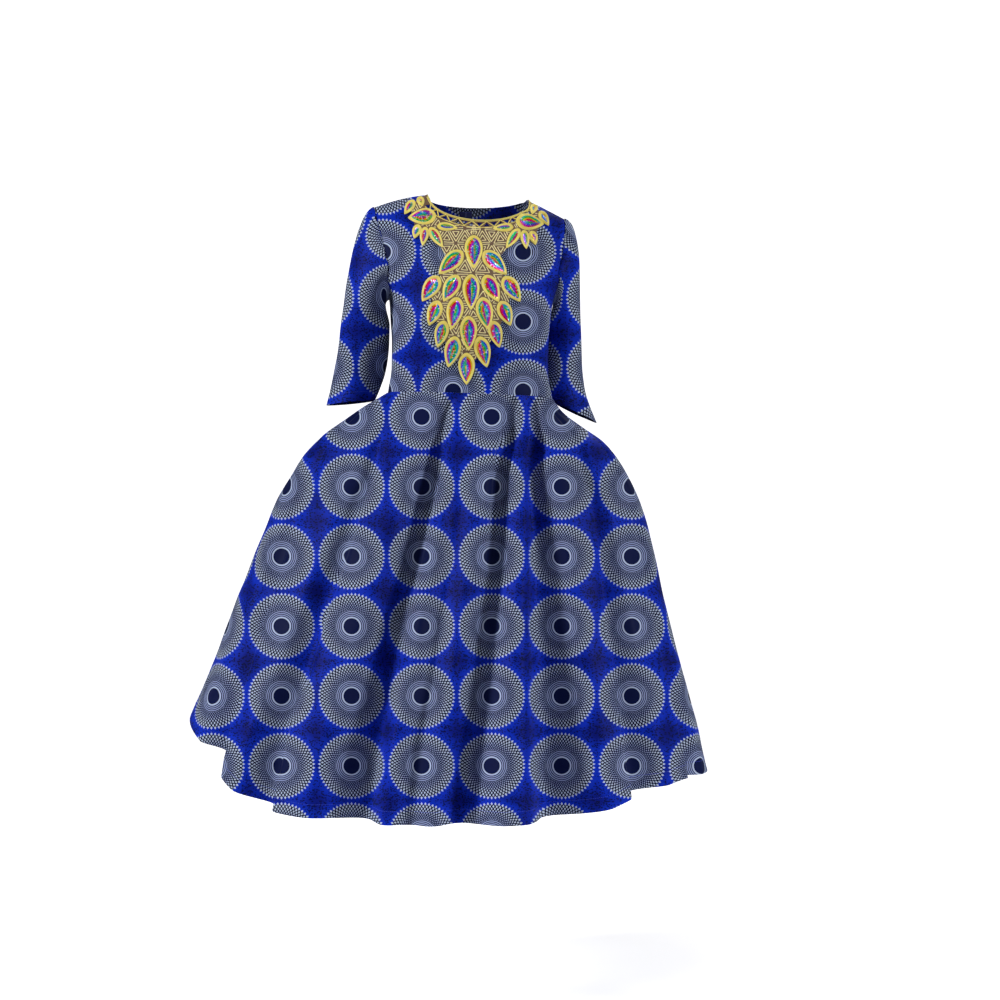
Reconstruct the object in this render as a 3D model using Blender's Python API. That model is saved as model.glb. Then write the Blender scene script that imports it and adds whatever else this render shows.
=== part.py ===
"""Wax-print midi dress, worn: jewel neck, set-in sleeves, waist seam, pleated full skirt, side pockets.

Frame: metres, +Z up, the front faces -Y, left and right are as seen from the front.
The origin is midway between the high points of the shoulders, where the dress hangs on its wearer.
Every panel is a wall whose outer points are worked out from the section tables below.
"""

from math import atan2, cos, degrees, pi, radians, sin, sqrt

import bmesh
import bpy
from mathutils import Vector
from mathutils.bvhtree import BVHTree
from mathutils.geometry import delaunay_2d_cdt

# Driving sizes in metres
WALL = 0.0015
SEAM = 0.0003
WAIST_Z = -0.3875
WAIST_TILT = 0.0055
BODICE_HEIGHT = 0.3875
UNDERARM_LEVEL = 0.1825
SHOULDER_ANGLE = 58.0
TORSO_SQUARENESS = 2.4
SKIRT_SQUARENESS = 2.0
CHEST_TURN = 8.0
WAIST_TURN = 3.0
HIP_DROP = 0.16
NECK_DROP_FRONT = 0.054
NECK_DROP_BACK = 0.018
NECK_LEFT_X = -0.101
NECK_RIGHT_X = 0.092
SLIT_GAP = 0.026
SLIT_SHARE = 0.136
POCKET_BOTTOM_Z = -0.615
BODY_CLEARANCE = 0.0026
ARMHOLE_GAP = 0.0009
TAPE_WIDTH = 0.024
TAPE_SHIFT = 0.0024
TAPE_THICKNESS = 0.0011

# Bodice sections: level above the waist seam, left x, right x, front depth, back depth
BODICE = [
    (-0.010, -0.1795, 0.1410, 0.1125, 0.0985),
    (0.000, -0.1785, 0.1400, 0.1130, 0.0990),
    (0.047, -0.1715, 0.1320, 0.1150, 0.1010),
    (0.097, -0.1710, 0.1320, 0.1250, 0.1060),
    (0.147, -0.1735, 0.1360, 0.1340, 0.1110),
    (0.1825, -0.1760, 0.1400, 0.1320, 0.1130),
    (0.2275, -0.1960, 0.1590, 0.1210, 0.1130),
    (0.2725, -0.2095, 0.1705, 0.1010, 0.1070),
    (0.3175, -0.2175, 0.1780, 0.0760, 0.0940),
    (0.3500, -0.2240, 0.1840, 0.0510, 0.0720),
    (0.3720, -0.2270, 0.1870, 0.0300, 0.0440),
    (0.3840, -0.2280, 0.1880, 0.0120, 0.0180),
    (0.3875, -0.2280, 0.1880, 0.0000, 0.0000),
]

# Skirt sections: drop below the waist seam, left x, right x, front depth, back depth
SKIRT = [
    (0.000, -0.1785, 0.1400, 0.1130, 0.0990),
    (0.012, -0.1990, 0.1480, 0.1170, 0.1040),
    (0.030, -0.2300, 0.1640, 0.1240, 0.1120),
    (0.055, -0.2660, 0.1980, 0.1360, 0.1260),
    (0.085, -0.3060, 0.2400, 0.1520, 0.1440),
    (0.120, -0.3400, 0.2690, 0.1720, 0.1650),
    (0.160, -0.3650, 0.2920, 0.1950, 0.1880),
    (0.210, -0.3950, 0.3140, 0.2200, 0.2140),
    (0.270, -0.4190, 0.3310, 0.2480, 0.2420),
    (0.330, -0.4430, 0.3450, 0.2720, 0.2670),
    (0.390, -0.4670, 0.3570, 0.2940, 0.2900),
    (0.450, -0.4900, 0.3720, 0.3140, 0.3110),
    (0.510, -0.5110, 0.3880, 0.3330, 0.3300),
    (0.570, -0.5360, 0.4040, 0.3510, 0.3470),
    (0.630, -0.5620, 0.4200, 0.3670, 0.3620),
    (0.700, -0.5780, 0.4360, 0.3830, 0.3770),
    (0.800, -0.6000, 0.4600, 0.4000, 0.3950),
]

# Hem height: angle round the body from the front in degrees, z
HEM = [
    (-90, -1.000),
    (-75, -1.024),
    (-62, -1.054),
    (-55, -1.092),
    (-48, -1.124),
    (-42, -1.146),
    (-28, -1.164),
    (0, -1.176),
    (20, -1.173),
    (31, -1.165),
    (45, -1.134),
    (66, -1.112),
    (90, -1.112),
    (135, -1.142),
    (180, -1.156),
    (225, -1.125),
    (248, -1.056),
    (270, -1.000),
]

# Skirt folds: angle at waist, hip and hem, depth at waist, hip and hem in mm,
# half width at waist and hem in mm
FRONT_FOLDS = [
    (-72.0, -60.0, -59.0, 0.0, 8.0, 48.0, 12.0, 60.0),
    (-44.0, -33.0, -42.0, 0.0, 16.0, 48.0, 12.0, 56.0),
    (-12.0, -11.0, -19.0, 8.0, 34.0, 76.0, 9.0, 66.0),
    (9.0, 1.0, -6.0, 0.0, 9.0, 34.0, 8.0, 44.0),
    (29.5, 15.0, 5.0, 8.0, 32.0, 70.0, 8.0, 58.0),
    (43.5, 28.0, 27.5, 9.0, 36.0, 82.0, 9.0, 80.0),
    (60.0, 49.0, 49.0, 0.0, 14.0, 46.0, 9.0, 58.0),
    (77.0, 71.0, 70.0, 0.0, 6.0, 34.0, 8.0, 50.0),
]
BACK_FOLDS = [
    (103.0, 108.0, 107.0, 0.0, 5.0, 30.0, 9.0, 54.0),
    (121.0, 126.0, 126.0, 0.0, 8.0, 38.0, 9.0, 60.0),
    (139.0, 143.0, 144.0, 8.0, 20.0, 48.0, 9.0, 64.0),
    (158.0, 161.0, 163.0, 8.0, 16.0, 36.0, 9.0, 56.0),
    (201.0, 198.0, 199.0, 8.0, 17.0, 42.0, 9.0, 64.0),
    (222.0, 219.0, 221.0, 8.0, 20.0, 50.0, 9.0, 68.0),
    (241.0, 238.0, 240.0, 0.0, 8.0, 36.0, 9.0, 56.0),
    (257.0, 255.0, 256.0, 0.0, 5.0, 28.0, 9.0, 50.0),
]
WAIST_PLEAT_RUN = 0.022
SKIRT_ROWS = [0.0, 0.012, 0.032, 0.060, 0.095, 0.136, 0.20, 0.28, 0.38, 0.50, 0.62, 0.74, 0.87, 1.0]

# Sleeves: z, outer x, inner x, middle y, half depth in y; then the cuff's tilt
SLEEVE_LEFT = [
    (-0.252, -0.2680, -0.1765, -0.004, 0.054),
    (-0.283, -0.2725, -0.1775, 0.006, 0.053),
    (-0.314, -0.2775, -0.1805, 0.014, 0.052),
    (-0.345, -0.2840, -0.1860, 0.018, 0.052),
    (-0.376, -0.2910, -0.1960, 0.014, 0.051),
    (-0.4015, -0.2970, -0.2055, 0.006, 0.050),
]
SLEEVE_RIGHT = [
    (-0.252, 0.1960, 0.1270, 0.060, 0.054),
    (-0.290, 0.1980, 0.1260, 0.070, 0.053),
    (-0.325, 0.1990, 0.1250, 0.075, 0.053),
    (-0.360, 0.2035, 0.1260, 0.072, 0.052),
    (-0.392, 0.2130, 0.1320, 0.062, 0.050),
    (-0.419, 0.2270, 0.1450, 0.050, 0.048),
]
CUFF_TILT_LEFT = 0.11
CUFF_TILT_RIGHT = -0.50
ARMHOLE_ROWS = 8
SIDE_ROWS = 5
CAP_ROWS = 6

# Pendant leaves: distance from the leaning middle line, z, length, width, outward lean in degrees
PENDANT_LEAVES = [
    (0.0000, -0.1197, 0.067, 0.0345, 0.0),
    (0.0420, -0.1410, 0.063, 0.0330, 44.0),
    (0.0385, -0.1905, 0.057, 0.0305, 28.0),
    (0.0767, -0.1906, 0.056, 0.0315, 33.0),
    (0.0000, -0.1975, 0.068, 0.0320, 0.0),
    (0.0288, -0.2375, 0.062, 0.0320, 11.0),
    (0.0672, -0.2368, 0.050, 0.0280, 22.0),
    (0.0000, -0.2748, 0.065, 0.0325, 0.0),
    (0.0516, -0.2761, 0.052, 0.0262, 15.0),
    (0.0292, -0.3094, 0.060, 0.0305, 14.0),
    (0.0000, -0.3413, 0.061, 0.0315, 0.0),
]
# Shoulder leaves: distance from the middle line, z below the shoulder line, length, width,
# outward lean in degrees
SHOULDER_LEAVES = [
    (0.1028, -0.0490, 0.054, 0.0340, 86.0),
    (0.0530, -0.0705, 0.040, 0.0170, -84.0),
    (0.0725, -0.0915, 0.047, 0.0193, -32.0),
    (0.0957, -0.0890, 0.038, 0.0170, 7.0),
    (0.1110, -0.0775, 0.029, 0.0175, 16.0),
    (0.1290, -0.0250, 0.034, 0.0180, 30.0),
    (0.1080, -0.0170, 0.022, 0.0150, -20.0),
]
# Lace ground's edge, from the shoulder to the foot: distance from the middle line, z below the shoulder line
GROUND_EDGE = [
    (0.1120, -0.0110),
    (0.1290, -0.0250),
    (0.1200, -0.0500),
    (0.1110, -0.0775),
    (0.0957, -0.0890),
    (0.0725, -0.0915),
    (0.0600, -0.1140),
    (0.0420, -0.1410),
    (0.0767, -0.1906),
    (0.0672, -0.2368),
    (0.0516, -0.2761),
    (0.0292, -0.3094),
    (0.0000, -0.3413),
]
MIDDLE_X = -0.0115
MIDDLE_Z = -0.1187
MIDDLE_LEAN = 0.0588
LEAF_POINTS = 12
LACE_GAP = 0.0010
STEEP_GAP = 0.0016
LACE_HEIGHT = 0.0010
CORD_HEIGHT = 0.0026
SEQUIN_HEIGHT = 0.0018
CORD_INSET = 0.0024
LACE_GRID = 0.0125
NECK_EDGE = 0.0010
NORMAL_REACH = 0.007
NECK_CORD = 0.0032
NECK_STEPS = 22
ZIGZAG_COUNT = 20
ZIGZAG_OFFSET = 0.0105
ZIGZAG_HEIGHT = 0.0078
ZIGZAG_HALF_BASE = 0.0060

# Pockets: slit shares of the mouth's columns; rows as share of depth, share of the mouth's width,
# shift towards the pocket's middle
POCKET_COLUMNS = [0.010, 0.020, 0.032, 0.046, 0.060, 0.078, 0.095, 0.112, 0.124]
POCKET_ROWS = [
    (0.00, 1.00, 0.00),
    (0.07, 0.86, 0.02),
    (0.30, 0.84, 0.06),
    (0.60, 0.72, 0.12),
    (0.88, 0.52, 0.18),
    (1.00, 0.24, 0.24),
]
POCKET_MIDDLE_X = 0.270
MOUTH_INSET = 0.0011
MOUTH_DEPTH = 0.0008

# Zip: the slider's base lies on the back at a share of the top row, with its pull hinged in the slider's arch
ZIP_SHARE = 0.70
SLIDER_CUTS_X = [-0.0030, -0.0008, 0.0008, 0.0030]
SLIDER_CUTS_OUT = [0.0005, 0.0025, 0.0050, 0.0064]
SLIDER_CUTS_ALONG = [-0.0050, -0.0036, -0.0022, 0.0022, 0.0036, 0.0050]
HINGE_OUT = 0.00375
PULL_THICKNESS = 0.0010
PULL_BAR = 0.0006
PULL_EYE_HALF = 0.0015
PULL_EYE_LENGTH = 0.0049
PULL_LENGTH = 0.0235
PULL_WIDTH = 0.0060
# Pull: share of its length down, share of its half width
PULL_OUTLINE = [
    (0.00, 0.60),
    (0.05, 0.88),
    (0.22, 0.90),
    (0.45, 0.78),
    (0.72, 0.98),
    (0.90, 0.84),
    (1.00, 0.36),
]


def smooth_row(table, key):
    """Returns the table's row at a key, on a cubic through the rows, without the key column."""
    last = len(table) - 1
    key = min(max(key, table[0][0]), table[last][0])
    i = max(k for k in range(last) if table[k][0] <= key)
    low, high = table[i], table[i + 1]
    span = high[0] - low[0]
    t = (key - low[0]) / span
    values = []
    for c in range(1, len(low)):
        rise = (high[c] - low[c]) / span
        before = (low[c] - table[i - 1][c]) / (low[0] - table[i - 1][0]) if i else rise
        after = (table[i + 2][c] - high[c]) / (table[i + 2][0] - high[0]) if i + 2 <= last else rise
        start = 2 * before * rise / (before + rise) if before * rise > 0 else 0.0
        end = 2 * after * rise / (after + rise) if after * rise > 0 else 0.0
        start = start if i else rise
        end = end if i + 2 <= last else rise
        values.append(
            (2 * t**3 - 3 * t**2 + 1) * low[c]
            + (t**3 - 2 * t**2 + t) * span * start
            + (3 * t**2 - 2 * t**3) * high[c]
            + (t**3 - t**2) * span * end
        )
    return values


def ease(t):
    """Returns a smooth step from 0 to 1."""
    t = min(max(t, 0.0), 1.0)
    return t * t * (3 - 2 * t)


def lerp(a, b, t):
    """Returns the value a share t of the way from a to b."""
    return a + (b - a) * t


def section_point(row, angle, square, turn, rear, side=0):
    """Returns x and y on a body section, just off the side seams, and off the centre-back seam by side."""
    left, right, front, back = row
    s, c = sin(radians(angle)), cos(radians(angle))
    scale = (abs(s) ** square + abs(c) ** square) ** (-1 / square)
    across = (right - left) / 2 * s * scale
    if side:
        across = side * max(side * across, SEAM / 2)
    depth = max((back if rear else front) * abs(c) * scale, SEAM / 2)
    turn = radians(turn)
    y = depth if rear else -depth
    return (
        (left + right) / 2 + across * cos(turn) - y * sin(turn),
        across * sin(turn) + y * cos(turn),
    )


def shoulder_drop(x):
    """Returns how far the shoulder line lies below the high point at x."""
    if x < -0.100:
        return 0.026 * ((-x - 0.100) / 0.105) ** 1.6
    if x > 0.078:
        return 0.043 * ((x - 0.078) / 0.087) ** 1.05
    return 0.0


def torso_turn(level):
    """Returns the torso's turn in degrees at a level above the waist."""
    return lerp(WAIST_TURN, CHEST_TURN, ease(level / 0.30))


def bodice_point(angle, level, rear=False, side=0):
    """Returns the bodice's outer surface at an angle from the front and a level above the waist."""
    row = smooth_row(BODICE, level)
    x, y = section_point(row, angle, TORSO_SQUARENESS, torso_turn(level), rear, side)
    share = level / BODICE_HEIGHT
    z = WAIST_Z + level - WAIST_TILT * sin(radians(angle)) * (1 - ease(share))
    z -= ease((level - UNDERARM_LEVEL) / (BODICE_HEIGHT - UNDERARM_LEVEL)) * shoulder_drop(x)
    return Vector((x, y, z))


def periodic_hem(angle):
    """Returns the hem's z at an angle from the front."""
    angle = (angle + 90) % 360 - 90
    return smooth_row(HEM, angle)[0]


def fold_state(fold, drop):
    """Returns a fold's angle, depth and half width at a drop below the waist."""
    waist, hip, hem, d_waist, d_hip, d_hem, w_waist, w_hem = fold
    to_hip = ease(min(drop / HIP_DROP, 1.0)) ** 0.6
    below = min(max(drop - HIP_DROP, 0.0) / 0.62, 1.0)
    angle = lerp(lerp(waist, hip, to_hip), hem, below)
    depth = lerp(d_waist, d_hip, to_hip) * ease(drop / WAIST_PLEAT_RUN)
    depth = lerp(depth, d_hem, below**0.9)
    width = lerp(w_waist, w_hem, (min(drop / 0.78, 1.0)) ** 0.8)
    return angle, depth / 1000, width / 1000


def skirt_section(drop):
    """Returns the skirt's section row, squareness and turn at a drop below the waist."""
    row = smooth_row(SKIRT, drop)
    share = ease(drop / HIP_DROP)
    return row, lerp(TORSO_SQUARENESS, SKIRT_SQUARENESS, share), lerp(WAIST_TURN, 0.0, share)


def skirt_point(angle, drop, rear=False, side=0):
    """Returns the skirt's outer surface at an angle from the front and a drop below the waist."""
    row, square, turn = skirt_section(drop)
    x, y = section_point(row, angle, square, turn, rear, side)
    middle = (row[0] + row[1]) / 2
    out = Vector((x - middle, y, 0))
    reach = out.length
    inward = 0.0
    for fold in BACK_FOLDS if rear else FRONT_FOLDS:
        at, depth, width = fold_state(fold, drop)
        t = abs(radians(angle - at)) * reach / width
        if t < 1:
            inward += depth * (0.5 + 0.5 * cos(pi * t)) ** 0.9
    out *= 1 - inward / reach
    z = WAIST_Z - WAIST_TILT * sin(radians(angle)) - drop
    return Vector((middle + out.x, out.y, z))


def drop_to_hem(angle):
    """Returns the skirt's length from waist seam to hem at an angle."""
    return WAIST_Z - WAIST_TILT * sin(radians(angle)) - SEAM - periodic_hem(angle)


def grid_normals(grid, closed):
    """Returns the outward unit normal at each point of a grid whose rows go up and columns round."""
    rows, columns = len(grid), len(grid[0])
    normals = []
    for r in range(rows):
        line = []
        for c in range(columns):
            if closed:
                along = grid[r][(c + 1) % columns] - grid[r][c - 1]
            else:
                along = grid[r][min(c + 1, columns - 1)] - grid[r][max(c - 1, 0)]
            up = grid[min(r + 1, rows - 1)][c] - grid[max(r - 1, 0)][c]
            line.append(along.cross(up).normalized())
        normals.append(line)
    return normals


def wall_points(grid, thickness, closed=False, edges=None):
    """Returns a grid's inner points. edges maps top, bottom, left or right to the seam's own normal."""
    edges = edges or {}
    rows, columns = len(grid), len(grid[0])
    normals = grid_normals(grid, closed)
    inner = []
    for r in range(rows):
        line = []
        for c in range(columns):
            step = -thickness * normals[r][c]
            on = {
                "bottom": r == 0,
                "top": r == rows - 1,
                "left": c == 0,
                "right": c == columns - 1,
            }
            for name, seam in edges.items():
                if on[name]:
                    normal = seam(r, c) if callable(seam) else seam
                    step = step - normal * step.dot(normal)
            line.append(grid[r][c] + step)
        inner.append(line)
    return inner


def wall_mesh(name, outer, inner, closed=False):
    """Returns a closed mesh between two grids. Rows go up, columns run left to right seen from outside."""
    bm = bmesh.new()
    rows, columns = len(outer), len(outer[0])
    out = [[bm.verts.new(p) for p in line] for line in outer]
    inn = [[bm.verts.new(p) for p in line] for line in inner]
    last = columns if closed else columns - 1
    for r in range(rows - 1):
        for c in range(last):
            d = (c + 1) % columns
            bm.faces.new((out[r][c], out[r][d], out[r + 1][d], out[r + 1][c]))
            bm.faces.new((inn[r][d], inn[r][c], inn[r + 1][c], inn[r + 1][d]))
    for c in range(last):
        d = (c + 1) % columns
        bm.faces.new((out[0][d], out[0][c], inn[0][c], inn[0][d]))
        bm.faces.new((out[-1][c], out[-1][d], inn[-1][d], inn[-1][c]))
    if not closed:
        for r in range(rows - 1):
            bm.faces.new((out[r][0], out[r + 1][0], inn[r + 1][0], inn[r][0]))
            bm.faces.new((out[r + 1][-1], out[r][-1], inn[r][-1], inn[r + 1][-1]))
    return finish_mesh(name, bm)


def finish_mesh(name, bm):
    """Returns a mesh made from bm, with its quads cut along their shorter diagonals."""
    bmesh.ops.triangulate(bm, faces=bm.faces[:], quad_method="SHORT_EDGE")
    mesh = bpy.data.meshes.new(name)
    bm.to_mesh(mesh)
    bm.free()
    mesh.shade_smooth()
    return mesh


def material(name, colour, roughness, metallic=0.0):
    """Returns a Principled material of a linear colour."""
    made = bpy.data.materials.new(name)
    made.use_nodes = True
    shader = made.node_tree.nodes["Principled BSDF"]
    shader.inputs["Base Color"].default_value = (*colour, 1)
    shader.inputs["Roughness"].default_value = roughness
    shader.inputs["Metallic"].default_value = metallic
    return made


def add_part(name, mesh, finish):
    """Links a mesh to the scene as a named object of a finish."""
    part = bpy.data.objects.new(name, mesh)
    part.data.materials.append(finish)
    bpy.context.collection.objects.link(part)
    return part


def armhole_angle(level, rear=False):
    """Returns the armhole edge's angle from the front centre at a level from underarm to shoulder."""
    t = (level - UNDERARM_LEVEL) / (BODICE_HEIGHT - UNDERARM_LEVEL)
    rise = min(max(t, 0.0) / 0.32, 1.0) ** 0.5
    turned = 90 - (90 - SHOULDER_ANGLE) * rise
    return 180 - turned if rear else turned


def side_curve(rear=False):
    """Returns angle and level up the side seam and armhole, as list of rows."""
    side = [(90.0, UNDERARM_LEVEL * k / SIDE_ROWS) for k in range(SIDE_ROWS)]
    hole = []
    for k in range(ARMHOLE_ROWS + 1):
        level = lerp(UNDERARM_LEVEL, BODICE_HEIGHT, (k / ARMHOLE_ROWS) ** 1.35)
        hole.append((armhole_angle(level, rear), level))
    return side + hole


def angle_at(x_across, level, rear=False):
    """Returns the angle whose point lies x_across from the section's middle."""
    left, right = smooth_row(BODICE, level)[:2]
    share = min(abs(x_across) / ((right - left) / 2), 0.9999) ** TORSO_SQUARENESS
    turned = degrees(atan2(share ** (1 / TORSO_SQUARENESS), (1 - share) ** (1 / TORSO_SQUARENESS)))
    turned = 180 - turned if rear else turned
    return turned if x_across >= 0 else -turned


def shoulder_middle():
    """Returns the x of the top section's middle."""
    left, right = BODICE[-1][1:3]
    return (left + right) / 2


def neck_curve(share, drop, rear=False):
    """Returns angle and level on the neckline, share 0 at the left neck point and 1 at the right."""
    swing = pi * share
    x = lerp(NECK_LEFT_X, NECK_RIGHT_X, 0.5 - 0.5 * cos(swing))
    level = BODICE_HEIGHT - drop * sin(swing) ** 0.8
    return angle_at(x - shoulder_middle(), level, rear), level


def blend_patch(bottom, top, left, right):
    """Returns rows of (angle, level) filling four border curves."""
    rows, columns = len(left), len(bottom)
    patch = []
    for r in range(rows):
        line = []
        for c in range(columns):
            u, v = c / (columns - 1), r / (rows - 1)
            v = 0.5 * (v_share(left, r) + v)
            if r == 0:
                v = 0.0
            if r == rows - 1:
                v = 1.0
            point = []
            for k in range(2):
                point.append(
                    (1 - v) * bottom[c][k]
                    + v * top[c][k]
                    + (1 - u) * left[r][k]
                    + u * right[r][k]
                    - (1 - u) * ((1 - v) * left[0][k] + v * left[-1][k])
                    - u * ((1 - v) * right[0][k] + v * right[-1][k])
                )
            if c == 0:
                point = left[r]
            if c == columns - 1:
                point = right[r]
            line.append(tuple(point))
        patch.append(line)
    return patch


def v_share(side, r):
    """Returns how far up a side border its row r lies, as a share of its levels."""
    return (side[r][1] - side[0][1]) / (side[-1][1] - side[0][1])


def line_between(start, end, count):
    """Returns count + 1 even steps of (angle, level) from start to end."""
    return [(lerp(start[0], end[0], k / count), lerp(start[1], end[1], k / count)) for k in range(count + 1)]


def shoulder_line(outer_angle, neck_angle, count):
    """Returns (angle, level) from the shoulder tip to the neck point."""
    return line_between((outer_angle, BODICE_HEIGHT), (neck_angle, BODICE_HEIGHT), count)


def turned_axis(level, depthwise):
    """Returns the turned Y axis, or X axis, at a bodice level."""
    turn = radians(torso_turn(level))
    return Vector((-sin(turn), cos(turn), 0)) if depthwise else Vector((cos(turn), sin(turn), 0))


def bodice_front():
    """Builds the front bodice and returns its grid of outer points."""
    tip = SHOULDER_ANGLE
    neck_left = neck_curve(0.0, NECK_DROP_FRONT)[0]
    neck_right = neck_curve(1.0, NECK_DROP_FRONT)[0]
    top = shoulder_line(-tip, neck_left, 4)
    top += [neck_curve(k / 10, NECK_DROP_FRONT) for k in range(1, 10)]
    top += shoulder_line(neck_right, tip, 3)
    columns = len(top)
    bottom = line_between((-90.0, 0.0), (90.0, 0.0), columns - 1)
    right = side_curve()
    left = [(-a, level) for a, level in right]
    patch = blend_patch(bottom, top, left, right)
    grid = [[bodice_point(a, level) for a, level in line] for line in patch]
    for point in grid[0]:
        point.z += SEAM / 2
    none = Vector((0, 0, 0))

    def side_seam(r, c):
        return turned_axis(patch[r][c][1], True) if r <= SIDE_ROWS else none

    def shoulder(r, c):
        return turned_axis(BODICE_HEIGHT, True) if c <= 4 or c >= columns - 4 else none

    edges = {"bottom": Vector((0, 0, 1)), "left": side_seam, "right": side_seam, "top": shoulder}
    return grid, wall_points(grid, WALL, False, edges)


def bodice_back(side):
    """Builds one back bodice half: side is -1 on the left and 1 on the right."""
    tip = 180 - SHOULDER_ANGLE
    steps = 4 if side < 0 else 3
    whole = [neck_curve(k / 10, NECK_DROP_BACK, True) for k in range(11)]
    neck = whole[6:][::-1] if side > 0 else [(-a, level) for a, level in whole[:5]]
    middle = (180.0, BODICE_HEIGHT - NECK_DROP_BACK)
    top = shoulder_line(tip, neck[0][0], steps) + neck[1:] + [middle]
    columns = len(top)
    outline = side_curve(True)
    bottom = line_between((90.0, 0.0), (180.0, 0.0), columns - 1)
    centre = line_between((180.0, 0.0), middle, len(outline) - 1)
    patch = blend_patch(bottom, top, outline, centre)
    grid = [[bodice_point(side * a, level, True, side) for a, level in line] for line in patch]
    for point in grid[0]:
        point.z += SEAM / 2
    if side < 0:
        grid = [line[::-1] for line in grid]
        patch = [line[::-1] for line in patch]
    up = Vector((0, 0, 1))
    none = Vector((0, 0, 0))

    def side_seam(r, c):
        return turned_axis(patch[r][c][1], True) if r <= SIDE_ROWS else none

    def centre_seam(r, c):
        return turned_axis(patch[r][c][1], False)

    def shoulder(r, c):
        from_tip = c if side > 0 else columns - 1 - c
        return turned_axis(BODICE_HEIGHT, True) if from_tip <= steps else none

    left, right = (side_seam, centre_seam) if side > 0 else (centre_seam, side_seam)
    edges = {"left": left, "right": right, "bottom": up, "top": shoulder}
    return grid, wall_points(grid, WALL, False, edges)


def armhole_loop(front, back, side):
    """Returns the armhole's points from the shoulder tip down the front and up the back."""
    column = 0 if side < 0 else -1
    back_column = -1 if side < 0 else 0
    down = [front[r][column] for r in range(len(front) - 1, SIDE_ROWS - 1, -1)]
    up = [back[r][back_column] for r in range(SIDE_ROWS + 1, len(back) - 1)]
    tip = (down[0] + back[-1][back_column]) / 2
    underarm = (down[-1] + back[SIDE_ROWS][back_column]) / 2
    return [tip] + down[1:-1] + [underarm] + up


def side_x(y, level, side):
    """Returns the x of the bodice's side at a y and a level above the waist."""
    samples = [bodice_point(side * a, level, a > 90) for a in range(30, 155, 4)]
    for low, high in zip(samples, samples[1:]):
        if low.y <= y <= high.y:
            return lerp(low.x, high.x, (y - low.y) / (high.y - low.y))
    return None


def clear_of_body(point, side):
    """Returns a sleeve's point moved out of the bodice's side where it comes too close."""
    level = point.z - WAIST_Z
    if not 0 < level < UNDERARM_LEVEL:
        return point
    edge = side_x(point.y, level, side)
    gap = min(BODY_CLEARANCE, SEAM + 0.2 * (UNDERARM_LEVEL - level))
    if edge is not None and side * (point.x - edge) < gap:
        return Vector((edge + side * gap, point.y, point.z))
    return point


def sleeve_ring(row, tilt, count):
    """Returns a ring of a sleeve, starting at its outer point and passing the front first."""
    z, outer_x, inner_x, middle_y, half_y = row
    middle, half = (outer_x + inner_x) / 2, (outer_x - inner_x) / 2
    ring = []
    for k in range(count):
        turn = 2 * pi * k / count
        x = middle + half * cos(turn)
        y = middle_y - half_y * sin(turn)
        ring.append(Vector((x, y, z + tilt * (x - middle))))
    return ring


def sleeve(front, back, side, table, cuff_tilt):
    """Builds a sleeve's rings from the cuff up to the armhole and returns its walls' points."""
    loop = armhole_loop(front, back, side)
    count = len(loop)
    start = [p + Vector((p.x - MIDDLE_X, p.y * 1.2, 0)).normalized() * ARMHOLE_GAP for p in loop]
    rows = []
    for i, row in enumerate(table):
        share = i / (len(table) - 1)
        rows.append(sleeve_ring(row, cuff_tilt * share**2, count))
    biceps, below = rows[0], rows[1]
    cap = []
    for step in range(1, CAP_ROWS + 1):
        t = 1 - step / CAP_ROWS
        t = t**1.15
        ring = []
        for k in range(count):
            high = 0.5 + 0.5 * cos(2 * pi * k / count)
            leave = Vector((side, 0, -0.30)).normalized() * lerp(0.016, 0.036, high)
            arm = (biceps[k] - below[k]).normalized() * lerp(0.016, 0.085, high)
            a, b, c, d = start[k], start[k] + leave, biceps[k] + arm, biceps[k]
            ring.append(a * (1 - t) ** 3 + b * 3 * t * (1 - t) ** 2 + c * 3 * t * t * (1 - t) + d * t**3)
        cap.append(ring)
    grid = [[clear_of_body(p, side) for p in ring] for ring in rows[::-1] + cap[:-1]] + [cap[-1]]
    if side > 0:
        grid = [[line[0]] + line[:0:-1] for line in grid]
    grid = [line[::-1] for line in grid]
    inner = wall_points(grid, WALL, True)
    return grid, inner


def column_guides(folds, low, high, drop):
    """Returns a row of column angles that follow the folds, at a drop below the waist."""
    row = skirt_section(drop)[0]
    states = [fold_state(fold, drop) for fold in folds]
    middles = [low - (states[0][0] - low)] + [state[0] for state in states] + [high + (high - states[-1][0])]
    marks = [low]
    for k, (at, _, width) in enumerate(states):
        reach = sqrt(
            (sin(radians(at)) * (row[1] - row[0]) / 2) ** 2 + (cos(radians(at)) * (row[2] + row[3]) / 2) ** 2
        )
        half = degrees(width / reach) * 0.92
        before = min(half, 0.46 * (at - middles[k]))
        after = min(half, 0.46 * (middles[k + 2] - at))
        marks += [at - before, at - before / 2, at, at + after / 2, at + after]
    marks.append(high)
    return marks


def spread_columns(guides):
    """Returns the guides kept in order, with added columns in wide ridges, by the hem row's plan."""
    plan = []
    hem = guides[-1]
    for k in range(len(hem) - 1):
        plan.append(2 if hem[k + 1] - hem[k] > 6.0 else 1)
    rows = []
    for marks in guides:
        fixed = marks[:]
        for k in range(1, len(fixed)):
            fixed[k] = max(fixed[k], fixed[k - 1] + 0.35)
        for k in range(len(fixed) - 2, -1, -1):
            fixed[k] = min(fixed[k], fixed[k + 1] - 0.35)
        fixed[-1] = marks[-1]
        fixed[0] = marks[0]
        row = []
        for k, cells in enumerate(plan):
            row += [lerp(fixed[k], fixed[k + 1], j / cells) for j in range(cells)]
        rows.append(row + [fixed[-1]])
    return rows


def skirt_axis(drop, depthwise):
    """Returns the turned Y axis, or X axis, at a drop below the waist."""
    turn = radians(skirt_section(max(drop, 0.0))[2])
    return Vector((-sin(turn), cos(turn), 0)) if depthwise else Vector((cos(turn), sin(turn), 0))


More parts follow.
